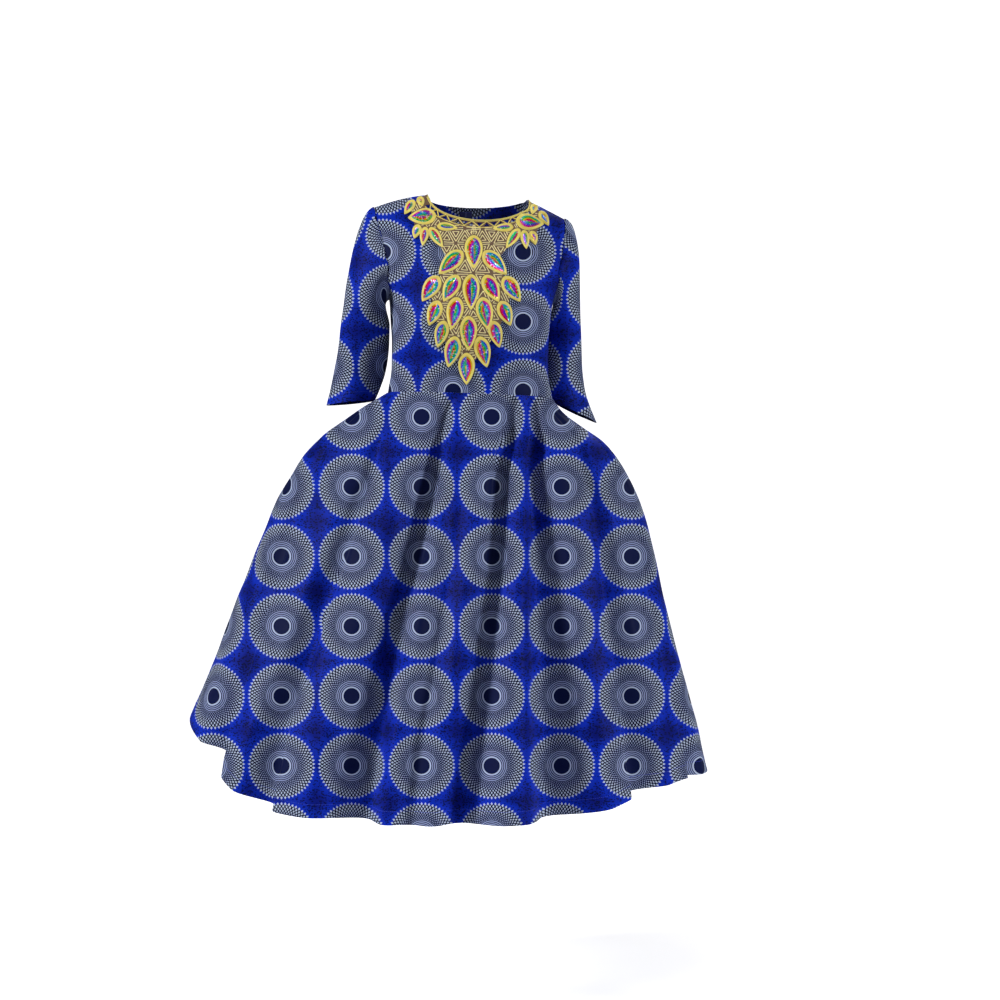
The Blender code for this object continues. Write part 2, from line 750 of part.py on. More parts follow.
def slit_angle(share, y_depth):
    """Returns how far in degrees a pocket slit's lip lies from the side seam, at a share of the skirt."""
    if share >= SLIT_SHARE or share <= 0:
        return 0.0
    opening = SLIT_GAP * sin(pi * share / SLIT_SHARE) ** 0.8
    return degrees(opening / y_depth)


def skirt_panel(folds, low, high, rear=False, side=0):
    """Builds a skirt panel between two angles and returns its outer and inner points, from the hem up."""
    guides = []
    for share in SKIRT_ROWS:
        guides.append(column_guides(folds, low, high, share * drop_to_hem((low + high) / 2)))
    angles = spread_columns(guides)
    low_slit, high_slit = (not rear or side > 0), (not rear or side < 0)
    grid = []
    for r, share in enumerate(SKIRT_ROWS):
        line = []
        for angle in angles[r]:
            drop = drop_to_hem(angle) * share
            row = skirt_section(drop)[0]
            shift = slit_angle(share, row[3] if rear else row[2])
            t = (angle - low) / (high - low)
            moved = angle
            if low_slit:
                moved += shift * max(0.0, 1 - t * 6)
            if high_slit:
                moved -= shift * max(0.0, 1 - (1 - t) * 6)
            line.append(skirt_point(moved, drop, rear, side))
        grid.append(line)
    for point in grid[0]:
        point.z -= SEAM / 2
    grid = grid[::-1]

    def side_seam(r, c):
        return skirt_axis(WAIST_Z - grid[r][c].z, True)

    def centre_seam(r, c):
        return skirt_axis(WAIST_Z - grid[r][c].z, False)

    edges = {
        "top": Vector((0, 0, 1)),
        "left": side_seam if low_slit else centre_seam,
        "right": side_seam if high_slit else centre_seam,
    }
    inner = wall_points(grid, WALL, False, edges)
    return grid, inner


def edge_point(grid, column, share):
    """Returns the point at a share of the skirt's length down one edge column of a panel's grid."""
    line = [row[column] for row in grid][::-1]
    i = max(k for k in range(len(SKIRT_ROWS) - 1) if SKIRT_ROWS[k] <= share)
    return line[i].lerp(line[i + 1], (share - SKIRT_ROWS[i]) / (SKIRT_ROWS[i + 1] - SKIRT_ROWS[i]))


def pocket_mouth(front, back, side):
    """Returns the pocket's mouth just inside the slit: the front lip's points, then the back lip's."""
    front_column = 0 if side < 0 else -1
    back_column = -1 if side < 0 else 0
    lips = []
    for share in POCKET_COLUMNS:
        fore = edge_point(front, front_column, share)
        rear = edge_point(back, back_column, share)
        middle = (fore + rear) / 2
        inset = (middle - fore).normalized() * min(MOUTH_INSET, (middle - fore).length * 0.5)
        down = Vector((0, 0, -MOUTH_DEPTH))
        lips.append((fore + inset + down, rear - inset + down))
    return [lip[0] for lip in lips], [lip[1] for lip in lips]


def pocket(front, back, side):
    """Returns a pocket bag's mesh: a pouch that hangs straight down from the slit."""
    fore, rear = pocket_mouth(front, back, side)
    count = len(fore)
    ring = fore + rear[::-1]
    outer = []
    for share, width, shift in POCKET_ROWS:
        line = []
        for k, p in enumerate(ring):
            middle = (p.y + ring[2 * count - 1 - k].y) / 2
            place = (k if k < count else 2 * count - 1 - k) / (count - 1)
            bottom = POCKET_BOTTOM_Z + 0.030 * (2 * place - 1) ** 2
            x = lerp(p.x, side * POCKET_MIDDLE_X, shift)
            line.append(Vector((x, middle + (p.y - middle) * width, lerp(p.z, bottom, share))))
        outer.append(line)
    outer = outer[::-1]
    if side < 0:
        outer = [line[::-1] for line in outer]
    inner = wall_points(outer, WALL, True, {"top": Vector((0, 0, 1))})
    for p in inner[0]:
        p.z += WALL
    name = "pocket_left" if side < 0 else "pocket_right"
    return pouch_mesh(name, outer, inner)


def pouch_mesh(name, outer, inner):
    """Returns a pouch's closed mesh: walls, a rim at the mouth, and a bottom bridged from front to back."""
    bm = bmesh.new()
    columns = len(outer[0])
    out = [[bm.verts.new(p) for p in line] for line in outer]
    inn = [[bm.verts.new(p) for p in line] for line in inner]
    for r in range(len(outer) - 1):
        for c in range(columns):
            d = (c + 1) % columns
            bm.faces.new((out[r][c], out[r][d], out[r + 1][d], out[r + 1][c]))
            bm.faces.new((inn[r][d], inn[r][c], inn[r + 1][c], inn[r + 1][d]))
    for c in range(columns):
        d = (c + 1) % columns
        bm.faces.new((out[-1][c], out[-1][d], inn[-1][d], inn[-1][c]))
    for c in range(columns // 2 - 1):
        far = columns - 1 - c
        bm.faces.new((out[0][c + 1], out[0][c], out[0][far], out[0][far - 1]))
        bm.faces.new((inn[0][c], inn[0][c + 1], inn[0][far - 1], inn[0][far]))
    return finish_mesh(name, bm)


def zip_tape():
    """Returns the zip tape's mesh: a strip inside the centre-back seam, across the waist seam."""
    rows = len(side_curve()) - 1
    top = BODICE_HEIGHT - NECK_DROP_BACK
    middles = [skirt_point(180, share * drop_to_hem(180), True) for share in SKIRT_ROWS[5:0:-1]]
    middles += [bodice_point(180, top * k / rows, True) for k in range(rows)]
    middles.append(middles[-1].lerp(bodice_point(180, top, True), 0.8))
    outer, inner = [], []
    for k, middle in enumerate(middles):
        run = middles[min(k + 1, len(middles) - 1)] - middles[max(k - 1, 0)]
        out = Vector((0, run.z, -run.y)).normalized()
        low = middle.z < WAIST_Z
        across = skirt_axis(WAIST_Z - middle.z, False) if low else turned_axis(middle.z - WAIST_Z, False)
        spots = [middle - out * TAPE_SHIFT - across * t * TAPE_WIDTH / 2 for t in (-1, 0, 1)]
        outer.append(spots)
        inner.append([p - out * TAPE_THICKNESS for p in spots])
    return wall_mesh("zip_tape", outer, inner)


def cell_mesh(name, cuts_x, cuts_y, cuts_z, filled, place):
    """Returns the closed skin of the filled cells of a cut box, each corner moved by place."""
    bm = bmesh.new()
    corners = {}

    def corner(i, j, k):
        if (i, j, k) not in corners:
            corners[(i, j, k)] = bm.verts.new(place(cuts_x[i], cuts_y[j], cuts_z[k]))
        return corners[(i, j, k)]

    sides = {
        (-1, 0, 0): ((0, 0, 0), (0, 0, 1), (0, 1, 1), (0, 1, 0)),
        (1, 0, 0): ((1, 0, 0), (1, 1, 0), (1, 1, 1), (1, 0, 1)),
        (0, -1, 0): ((0, 0, 0), (1, 0, 0), (1, 0, 1), (0, 0, 1)),
        (0, 1, 0): ((0, 1, 0), (0, 1, 1), (1, 1, 1), (1, 1, 0)),
        (0, 0, -1): ((0, 0, 0), (0, 1, 0), (1, 1, 0), (1, 0, 0)),
        (0, 0, 1): ((0, 0, 1), (1, 0, 1), (1, 1, 1), (0, 1, 1)),
    }
    for cell in filled:
        for step, square in sides.items():
            if tuple(a + b for a, b in zip(cell, step)) not in filled:
                bm.faces.new([corner(*(a + b for a, b in zip(cell, spot))) for spot in square])
    return finish_mesh(name, bm)


def zip_frame(back):
    """Returns the slider's base point on the back's centre seam and its across, out and along directions."""
    low, high = back[-2][-1], back[-1][-1]
    base = low.lerp(high, ZIP_SHARE)
    along = (high - low).normalized()
    across = turned_axis(base.z - WAIST_Z, False)
    out = along.cross(across).normalized()
    across = out.cross(along) * (1 if out.cross(along).x > 0 else -1)
    if out.y < 0:
        out = -out
    return base, across, out, along


def zip_slider(back):
    """Returns the slider's mesh: a plate with an arch over it."""
    base, across, out, along = zip_frame(back)
    plate = {(i, 0, k) for i in range(3) for k in range(5)}
    arch = {(1, 1, 1), (1, 1, 3), (1, 2, 1), (1, 2, 2), (1, 2, 3)}
    place = lambda x, y, z: base + across * x + out * y + along * z
    return cell_mesh("zip_slider", SLIDER_CUTS_X, SLIDER_CUTS_OUT, SLIDER_CUTS_ALONG, plate | arch, place)


def zip_pull(back):
    """Returns the pull's mesh about its hinge line, and the hinge's middle point."""
    base, across, out, along = zip_frame(back)
    hinge = base + out * HINGE_OUT
    eye = []
    for turn in range(8):
        a = 2 * pi * (turn + 0.5) / 8
        down = 0.5 - 0.5 * sin(a) / sin(3 * pi / 8)
        eye.append((PULL_EYE_HALF * cos(a) / cos(pi / 8), -PULL_BAR - PULL_EYE_LENGTH * down))
    rim = []
    for down, share in PULL_OUTLINE:
        rim.append((PULL_WIDTH / 2 * share, PULL_BAR - (PULL_LENGTH + PULL_BAR) * down))
    rim += [(-x, y) for x, y in rim[::-1]]
    points = [Vector(p) for p in turned_left(rim) + turned_left(eye)]
    count = len(rim)
    edges = [(k, (k + 1) % count) for k in range(count)]
    edges += [(count + k, count + (k + 1) % 8) for k in range(8)]
    faces = [list(range(count)), list(range(count, count + 8))]
    verts, _, tris, _, _, kept = delaunay_2d_cdt(points, edges, faces, 0, 1e-6)
    bm = bmesh.new()
    half = out * PULL_THICKNESS / 2
    spots = [across * p.x + along * p.y for p in verts]
    high = [bm.verts.new(p + half) for p in spots]
    low = [bm.verts.new(p - half) for p in spots]
    kept_tris = [t for t, own in zip(tris, kept) if own == [0]]
    wall_faces(bm, kept_tris, verts, high, low, across.cross(along).dot(out) > 0)
    return finish_mesh("zip_pull", bm), hinge


def wall_faces(bm, triangles, flat, high, low, keep_turn):
    """Adds both skins and the rims of a flat triangle set between its raised and plain points."""
    borders = {}
    for triangle in triangles:
        a, b, c = triangle
        turn = (flat[b] - flat[a]).cross(flat[c] - flat[a])
        if (turn > 0) != keep_turn:
            a, b, c = a, c, b
        bm.faces.new((high[a], high[b], high[c]))
        bm.faces.new((low[c], low[b], low[a]))
        for pair in ((a, b), (b, c), (c, a)):
            borders[pair] = True
    for a, b in borders:
        if (b, a) not in borders:
            bm.faces.new((high[b], high[a], low[a], low[b]))


def middle_line(z):
    """Returns the x of the applique's leaning middle at a height."""
    return MIDDLE_X + MIDDLE_LEAN * (z - MIDDLE_Z)


def sided(distance, z, side, from_shoulder):
    """Returns x and z of a spot at a distance to one side of the applique's middle."""
    x = middle_line(z) + side * distance
    return x, z - (shoulder_drop(x) if from_shoulder else 0.0)


def leaf_outline(x, z, length, width, lean, inset):
    """Returns a leaf's outline in x and z, drawn in by inset. lean in degrees turns its tip towards +X."""
    length, width = length - 2.8 * inset, width - 2 * inset
    sides = LEAF_POINTS // 2
    half = []
    for k in range(sides + 1):
        s = 0.5 - 0.5 * cos(pi * k / sides)
        half.append((width / 2 * abs(sin(pi * s**0.72)) ** 0.78, length * (0.5 - s)))
    whole = half + [(-a, b) for a, b in half[-2:0:-1]]
    turn = radians(lean)
    return [(x + a * cos(turn) - b * sin(turn), z + a * sin(turn) + b * cos(turn)) for a, b in whole]


def leaf_places():
    """Returns every leaf of the applique as x, z, length, width and lean."""
    places = []
    for table, from_shoulder in ((PENDANT_LEAVES, False), (SHOULDER_LEAVES, True)):
        for distance, z, length, width, lean in table:
            for side in (-1, 1) if distance else (1,):
                x, height = sided(distance, z, side, from_shoulder)
                places.append((x, height, length, width, side * lean))
    return places


def neck_spot(share, offset):
    """Returns x and z of a point off the front neckline, outwards from the neck's middle."""
    x, z = bodice_point(*neck_curve(share, NECK_DROP_FRONT)).xz
    middle = (NECK_LEFT_X + NECK_RIGHT_X) / 2
    away = Vector((x - middle, min(z, 0.0))).normalized()
    return x + away.x * offset, z + away.y * offset


def zigzag_holes():
    """Returns the open triangles of the lace row below the neckline."""
    holes = []
    for k in range(ZIGZAG_COUNT):
        share = lerp(0.10, 0.90, (k + 0.5) / ZIGZAG_COUNT)
        flip = 1 if k % 2 else -1
        step = 0.006
        x, z = neck_spot(share, ZIGZAG_OFFSET)
        after, before = neck_spot(share + step, ZIGZAG_OFFSET), neck_spot(share - step, ZIGZAG_OFFSET)
        along = Vector((after[0] - before[0], after[1] - before[1])).normalized()
        away = Vector((along.y, -along.x)) * flip * ZIGZAG_HEIGHT / 2
        base = along * ZIGZAG_HALF_BASE
        middle = Vector((x, z))
        holes.append([middle + away, middle - away + base, middle - away - base])
    return holes


def turned_left(spots):
    """Returns a flat loop's points in the order that goes round to the left."""
    area = sum(a[0] * b[1] - b[0] * a[1] for a, b in zip(spots, spots[1:] + spots[:1]))
    return spots if area > 0 else spots[::-1]


def neck_applique(front):
    """Returns the applique's mesh: raised lace and leaves over a plain inside, just off the front bodice."""
    points, heights, edges, faces = [], [], [], []

    def add_loop(spots, height, is_face=True):
        first = len(points)
        for spot in turned_left(spots) if is_face else spots:
            points.append(Vector(spot))
            heights.append(height)
        last = len(spots) if is_face else len(spots) - 1
        for k in range(last):
            edges.append((first + k, first + (k + 1) % len(spots)))
        if is_face:
            faces.append(list(range(first, first + len(spots))))

    shares = [k / NECK_STEPS for k in range(NECK_STEPS + 1)]
    ground = [neck_spot(t, NECK_EDGE) for t in shares]
    ground += [sided(d, z, 1, z > MIDDLE_Z) for d, z in GROUND_EDGE]
    ground += [sided(d, z, -1, z > MIDDLE_Z) for d, z in GROUND_EDGE[-2::-1]]
    add_loop(ground, LACE_HEIGHT)
    for leaf in leaf_places():
        add_loop(leaf_outline(*leaf, 0.0), LACE_HEIGHT)
    solid = len(faces)
    holes = zigzag_holes()
    for hole in holes:
        add_loop(hole, LACE_HEIGHT)
    for leaf in leaf_places():
        add_loop(leaf_outline(*leaf, CORD_INSET), CORD_HEIGHT)
        points.append(Vector(leaf[:2]))
        heights.append(SEQUIN_HEIGHT)
    add_loop([neck_spot(t, NECK_CORD) for t in shares[1:-1]], CORD_HEIGHT, False)
    for i in range(-11, 11):
        for k in range(28):
            points.append(Vector((i * LACE_GRID + 0.0061 * (k % 2), -0.03 - k * LACE_GRID)))
            heights.append(LACE_HEIGHT)
    flat, _, triangles, origins, _, owners = delaunay_2d_cdt(points, edges, faces, 0, 1e-5)
    kept = []
    for triangle, owner in zip(triangles, owners):
        in_solid = any(f < solid for f in owner)
        in_hole = any(solid <= f < solid + len(holes) for f in owner)
        in_leaf = any(0 < f < solid for f in owner)
        if in_solid and (in_leaf or not in_hole):
            kept.append(triangle)
    tree = BVHTree.FromPolygons([v.co for v in front.vertices], [p.vertices for p in front.polygons])
    used = sorted({v for triangle in kept for v in triangle})
    number = {v: k for k, v in enumerate(used)}
    bm = bmesh.new()
    high, low, plan = [], [], []
    for v in used:
        spot, normal = on_front(tree, flat[v].x, flat[v].y)
        height = max([heights[o] for o in origins[v]] or [LACE_HEIGHT])
        gap = LACE_GAP + STEEP_GAP * max(normal.z, 0.0)
        low.append(bm.verts.new(spot + normal * gap))
        high.append(bm.verts.new(spot + normal * (gap + height)))
        plan.append(flat[v])
    wall_faces(bm, [[number[v] for v in triangle] for triangle in kept], plan, high, low, True)
    return finish_mesh("neck_applique", bm)


def seen_from_front(tree, x, z):
    """Returns the front bodice's point and outward normal seen from the front at x and z, or just below."""
    spot = None
    while spot is None:
        spot, normal, _, _ = tree.ray_cast(Vector((x, -1, z)), Vector((0, 1, 0)))
        z -= 0.001
    return spot, normal if normal.y < 0 else -normal


def on_front(tree, x, z):
    """Returns the front bodice's point at x and z, and its normal averaged over the spots round it."""
    reach = NORMAL_REACH
    normals = [seen_from_front(tree, x + i * reach, z + k * reach)[1] for i in (-1, 0, 1) for k in (-1, 0, 1)]
    return seen_from_front(tree, x, z)[0], sum(normals, Vector()).normalized()


def main():
    """Builds the dress."""
    for thing in list(bpy.data.objects):
        bpy.data.objects.remove(thing)
    cloth = material("wax_cotton", (0.010, 0.028, 0.520), 0.62)
    lace = material("sequin_lace", (0.760, 0.520, 0.090), 0.42)
    tape = material("zip_tape", (0.012, 0.020, 0.300), 0.70)
    metal = material("zip_metal", (0.020, 0.030, 0.260), 0.35, 0.6)
    front, front_in = bodice_front()
    front_mesh = wall_mesh("bodice_front", front, front_in)
    add_part("bodice_front", front_mesh, cloth)
    back_left, back_left_in = bodice_back(-1)
    add_part("bodice_back_left", wall_mesh("bodice_back_left", back_left, back_left_in), cloth)
    back_right, back_right_in = bodice_back(1)
    add_part("bodice_back_right", wall_mesh("bodice_back_right", back_right, back_right_in), cloth)
    outer, inner = sleeve(front, back_left, -1, SLEEVE_LEFT, CUFF_TILT_LEFT)
    add_part("sleeve_left", wall_mesh("sleeve_left", outer, inner, True), cloth)
    outer, inner = sleeve(front, back_right, 1, SLEEVE_RIGHT, CUFF_TILT_RIGHT)
    add_part("sleeve_right", wall_mesh("sleeve_right", outer, inner, True), cloth)
    skirt, skirt_in = skirt_panel(FRONT_FOLDS, -90, 90)
    add_part("skirt_front", wall_mesh("skirt_front", skirt, skirt_in), cloth)
    right, right_in = skirt_panel(BACK_FOLDS[:4], 90, 180, True, 1)
    add_part("skirt_back_right", wall_mesh("skirt_back_right", right, right_in), cloth)
    left, left_in = skirt_panel(BACK_FOLDS[4:], 180, 270, True, -1)
    add_part("skirt_back_left", wall_mesh("skirt_back_left", left, left_in), cloth)
    add_part("pocket_left", pocket(skirt, left, -1), cloth)
    add_part("pocket_right", pocket(skirt, right, 1), cloth)
    add_part("neck_applique", neck_applique(front_mesh), lace)
    add_part("zip_tape", zip_tape(), tape)
    add_part("zip_slider", zip_slider(back_right), metal)
    mesh, hinge = zip_pull(back_right)
    add_part("zip_pull", mesh, metal).location = hinge


main()
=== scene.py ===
"""Wax-print midi dress as it is worn, with its look: print, folds, sewing, zip and sequined lace applique.

The dress stands in the row frame in metres: +Z up, the front faces -Y, left and right as seen from the front.
The form repeats the construction's section tables, so every shell lies on its solid's form, only finer.
"""

import logging
import math
import random
from dataclasses import dataclass
from enum import Enum
from itertools import product
from typing import Callable, Iterable, Optional, Sequence, Union

import bpy
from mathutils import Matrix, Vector, noise
from mathutils.bvhtree import BVHTree
from mathutils.geometry import delaunay_2d_cdt


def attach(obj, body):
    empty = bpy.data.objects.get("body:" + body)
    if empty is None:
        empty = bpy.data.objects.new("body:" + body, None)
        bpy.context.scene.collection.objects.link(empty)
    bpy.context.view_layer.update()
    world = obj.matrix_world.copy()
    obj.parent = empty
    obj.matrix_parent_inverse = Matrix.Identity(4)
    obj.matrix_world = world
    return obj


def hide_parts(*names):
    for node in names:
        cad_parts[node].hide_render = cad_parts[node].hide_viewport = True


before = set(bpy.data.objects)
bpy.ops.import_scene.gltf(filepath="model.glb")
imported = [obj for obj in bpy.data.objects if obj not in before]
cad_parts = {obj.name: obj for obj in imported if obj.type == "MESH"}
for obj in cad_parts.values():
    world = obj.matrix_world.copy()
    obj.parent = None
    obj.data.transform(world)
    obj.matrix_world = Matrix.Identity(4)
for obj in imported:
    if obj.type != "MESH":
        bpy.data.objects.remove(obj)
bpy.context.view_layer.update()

logging.basicConfig(level=logging.INFO, format="%(message)s")
LOG = logging.getLogger("dress")

Row = tuple[float, ...]
Spot = tuple[float, float]
Grid = list[list[Vector]]
UvGrid = list[list[Spot]]
Finish = bpy.types.Material
Piece = bpy.types.Object
Socket = bpy.types.NodeSocket
Value = Union[float, str, Socket]
UP = Vector((0.0, 0.0, 1.0))


class Slot(str, Enum):
    """The record's material slots."""

    COTTON = "wax_cotton"
    LACE = "sequin_lace"
    TAPE = "zip_tape"
    METAL = "zip_metal"


class Side(Enum):
    """Left or right of the dress, as seen from the front."""

    LEFT = -1
    RIGHT = 1

    @property
    def word(self) -> str:
        """Returns the side's word in the pieces' names."""
        return self.name.lower()


def linear(colour: str) -> tuple[float, float, float, float]:
    """Turns a colour into linear light.

    Args:
        colour: sRGB as "#RRGGBB".

    Returns:
        Red, green, blue and an alpha of 1.
    """
    parts = [int(colour[i : i + 2], 16) / 255 for i in (1, 3, 5)]
    red, green, blue = (c / 12.92 if c <= 0.04045 else ((c + 0.055) / 1.055) ** 2.4 for c in parts)
    return red, green, blue, 1.0


def ease(t: float) -> float:
    """Returns a smooth step from 0 to 1."""
    t = min(max(t, 0.0), 1.0)
    return t * t * (3 - 2 * t)


def lerp(a: float, b: float, t: float) -> float:
    """Returns the value between two others."""
    return a + (b - a) * t


def smooth_row(table: Sequence[Row], key: float) -> list[float]:
    """Reads a table between its rows on a monotone cubic.

    Args:
        table: rows whose first column rises.
        key: the first column's value to read at.

    Returns:
        The other columns' values.
    """
    last = len(table) - 1
    key = min(max(key, table[0][0]), table[last][0])
    i = max(k for k in range(last) if table[k][0] <= key)
    low, high = table[i], table[i + 1]
    span = high[0] - low[0]
    t = (key - low[0]) / span
    values = []
    for c in range(1, len(low)):
        rise = (high[c] - low[c]) / span
        before = (low[c] - table[i - 1][c]) / (low[0] - table[i - 1][0]) if i else rise
        after = (table[i + 2][c] - high[c]) / (table[i + 2][0] - high[0]) if i + 2 <= last else rise
        start = 2 * before * rise / (before + rise) if before * rise > 0 else 0.0
        end = 2 * after * rise / (after + rise) if after * rise > 0 else 0.0
        start = start if i else rise
        end = end if i + 2 <= last else rise
        values.append(
            (2 * t**3 - 3 * t**2 + 1) * low[c]
            + (t**3 - 2 * t**2 + t) * span * start
            + (3 * t**2 - 2 * t**3) * high[c]
            + (t**3 - t**2) * span * end
        )
    return values


def finer(values: Sequence[float], steps: int) -> list[float]:
    """Cuts every gap between neighbouring values to even steps."""
    fine = [lerp(a, b, k / steps) for a, b in zip(values, values[1:]) for k in range(steps)]
    return fine + [values[-1]]


@dataclass(frozen=True)
class Fold:
    """One fold of the skirt: angles in degrees, depths and half widths in millimetres."""

    waist: float
    hip: float
    hem: float
    depth_waist: float
    depth_hip: float
    depth_hem: float
    half_waist: float
    half_hem: float


@dataclass(frozen=True)
class DressSizes:
    """The dress's driving sizes in metres, and its section tables."""

    seam: float = 0.0003
    waist_z: float = -0.3875
    waist_tilt: float = 0.0055
    bodice_height: float = 0.3875
    underarm: float = 0.1825
    shoulder_angle: float = 58.0
    torso_squareness: float = 2.4
    skirt_squareness: float = 2.0
    chest_turn: float = 8.0
    waist_turn: float = 3.0
    hip_drop: float = 0.16
    neck_front: float = 0.054
    neck_back: float = 0.018
    neck_left_x: float = -0.101
    neck_right_x: float = 0.092
    slit_gap: float = 0.026
    slit_share: float = 0.136
    slit_roundness: float = 0.8
    pleat_run: float = 0.022
    # Level up to which the torso's turn grows
    chest_level: float = 0.30
    # Powers and runs that shape the neckline, the armhole's start and the folds' growth down the skirt
    neck_fullness: float = 0.8
    armhole_run: float = 0.32
    armhole_fullness: float = 0.5
    hip_ease: float = 0.6
    hem_run: float = 0.62
    hem_ease: float = 0.9
    width_run: float = 0.78
    width_ease: float = 0.8
    fold_roundness: float = 0.9
    # Side of the dress, where its shoulder starts to slope beside the middle, its drop, the drop's run, power
    shoulders: tuple[Row, ...] = ((-1, 0.100, 0.026, 0.105, 1.6), (1, 0.078, 0.043, 0.087, 1.05))
    # Level above the waist seam, left x, right x, front depth, back depth
    bodice: tuple[Row, ...] = (
        (-0.010, -0.1795, 0.1410, 0.1125, 0.0985),
        (0.000, -0.1785, 0.1400, 0.1130, 0.0990),
        (0.047, -0.1715, 0.1320, 0.1150, 0.1010),
        (0.097, -0.1710, 0.1320, 0.1250, 0.1060),
        (0.147, -0.1735, 0.1360, 0.1340, 0.1110),
        (0.1825, -0.1760, 0.1400, 0.1320, 0.1130),
        (0.2275, -0.1960, 0.1590, 0.1210, 0.1130),
        (0.2725, -0.2095, 0.1705, 0.1010, 0.1070),
        (0.3175, -0.2175, 0.1780, 0.0760, 0.0940),
        (0.3500, -0.2240, 0.1840, 0.0510, 0.0720),
        (0.3720, -0.2270, 0.1870, 0.0300, 0.0440),
        (0.3840, -0.2280, 0.1880, 0.0120, 0.0180),
        (0.3875, -0.2280, 0.1880, 0.0000, 0.0000),
    )
    # Drop below the waist seam, left x, right x, front depth, back depth
    skirt: tuple[Row, ...] = (
        (0.000, -0.1785, 0.1400, 0.1130, 0.0990),
        (0.012, -0.1990, 0.1480, 0.1170, 0.1040),
        (0.030, -0.2300, 0.1640, 0.1240, 0.1120),
        (0.055, -0.2660, 0.1980, 0.1360, 0.1260),
        (0.085, -0.3060, 0.2400, 0.1520, 0.1440),
        (0.120, -0.3400, 0.2690, 0.1720, 0.1650),
        (0.160, -0.3650, 0.2920, 0.1950, 0.1880),
        (0.210, -0.3950, 0.3140, 0.2200, 0.2140),
        (0.270, -0.4190, 0.3310, 0.2480, 0.2420),
        (0.330, -0.4430, 0.3450, 0.2720, 0.2670),
        (0.390, -0.4670, 0.3570, 0.2940, 0.2900),
        (0.450, -0.4900, 0.3720, 0.3140, 0.3110),
        (0.510, -0.5110, 0.3880, 0.3330, 0.3300),
        (0.570, -0.5360, 0.4040, 0.3510, 0.3470),
        (0.630, -0.5620, 0.4200, 0.3670, 0.3620),
        (0.700, -0.5780, 0.4360, 0.3830, 0.3770),
        (0.800, -0.6000, 0.4600, 0.4000, 0.3950),
    )
    # Angle round the body from the front in degrees, hem's z
    hem: tuple[Row, ...] = (
        (-90, -1.000),
        (-75, -1.024),
        (-62, -1.054),
        (-55, -1.092),
        (-48, -1.124),
        (-42, -1.146),
        (-28, -1.164),
        (0, -1.176),
        (20, -1.173),
        (31, -1.165),
        (45, -1.134),
        (66, -1.112),
        (90, -1.112),
        (135, -1.142),
        (180, -1.156),
        (225, -1.125),
        (248, -1.056),
        (270, -1.000),
    )


FRONT_FOLDS = (
    Fold(-72.0, -60.0, -59.0, 0.0, 8.0, 48.0, 12.0, 60.0),
    Fold(-44.0, -33.0, -42.0, 0.0, 16.0, 48.0, 12.0, 56.0),
    Fold(-12.0, -11.0, -19.0, 8.0, 34.0, 76.0, 9.0, 66.0),
    Fold(9.0, 1.0, -6.0, 0.0, 9.0, 34.0, 8.0, 44.0),
    Fold(29.5, 15.0, 5.0, 8.0, 32.0, 70.0, 8.0, 58.0),
    Fold(43.5, 28.0, 27.5, 9.0, 36.0, 82.0, 9.0, 80.0),
    Fold(60.0, 49.0, 49.0, 0.0, 14.0, 46.0, 9.0, 58.0),
    Fold(77.0, 71.0, 70.0, 0.0, 6.0, 34.0, 8.0, 50.0),
)
BACK_RIGHT_FOLDS = (
    Fold(103.0, 108.0, 107.0, 0.0, 5.0, 30.0, 9.0, 54.0),
    Fold(121.0, 126.0, 126.0, 0.0, 8.0, 38.0, 9.0, 60.0),
    Fold(139.0, 143.0, 144.0, 8.0, 20.0, 48.0, 9.0, 64.0),
    Fold(158.0, 161.0, 163.0, 8.0, 16.0, 36.0, 9.0, 56.0),
)
BACK_LEFT_FOLDS = (
    Fold(201.0, 198.0, 199.0, 8.0, 17.0, 42.0, 9.0, 64.0),
    Fold(222.0, 219.0, 221.0, 8.0, 20.0, 50.0, 9.0, 68.0),
    Fold(241.0, 238.0, 240.0, 0.0, 8.0, 36.0, 9.0, 56.0),
    Fold(257.0, 255.0, 256.0, 0.0, 5.0, 28.0, 9.0, 50.0),
)


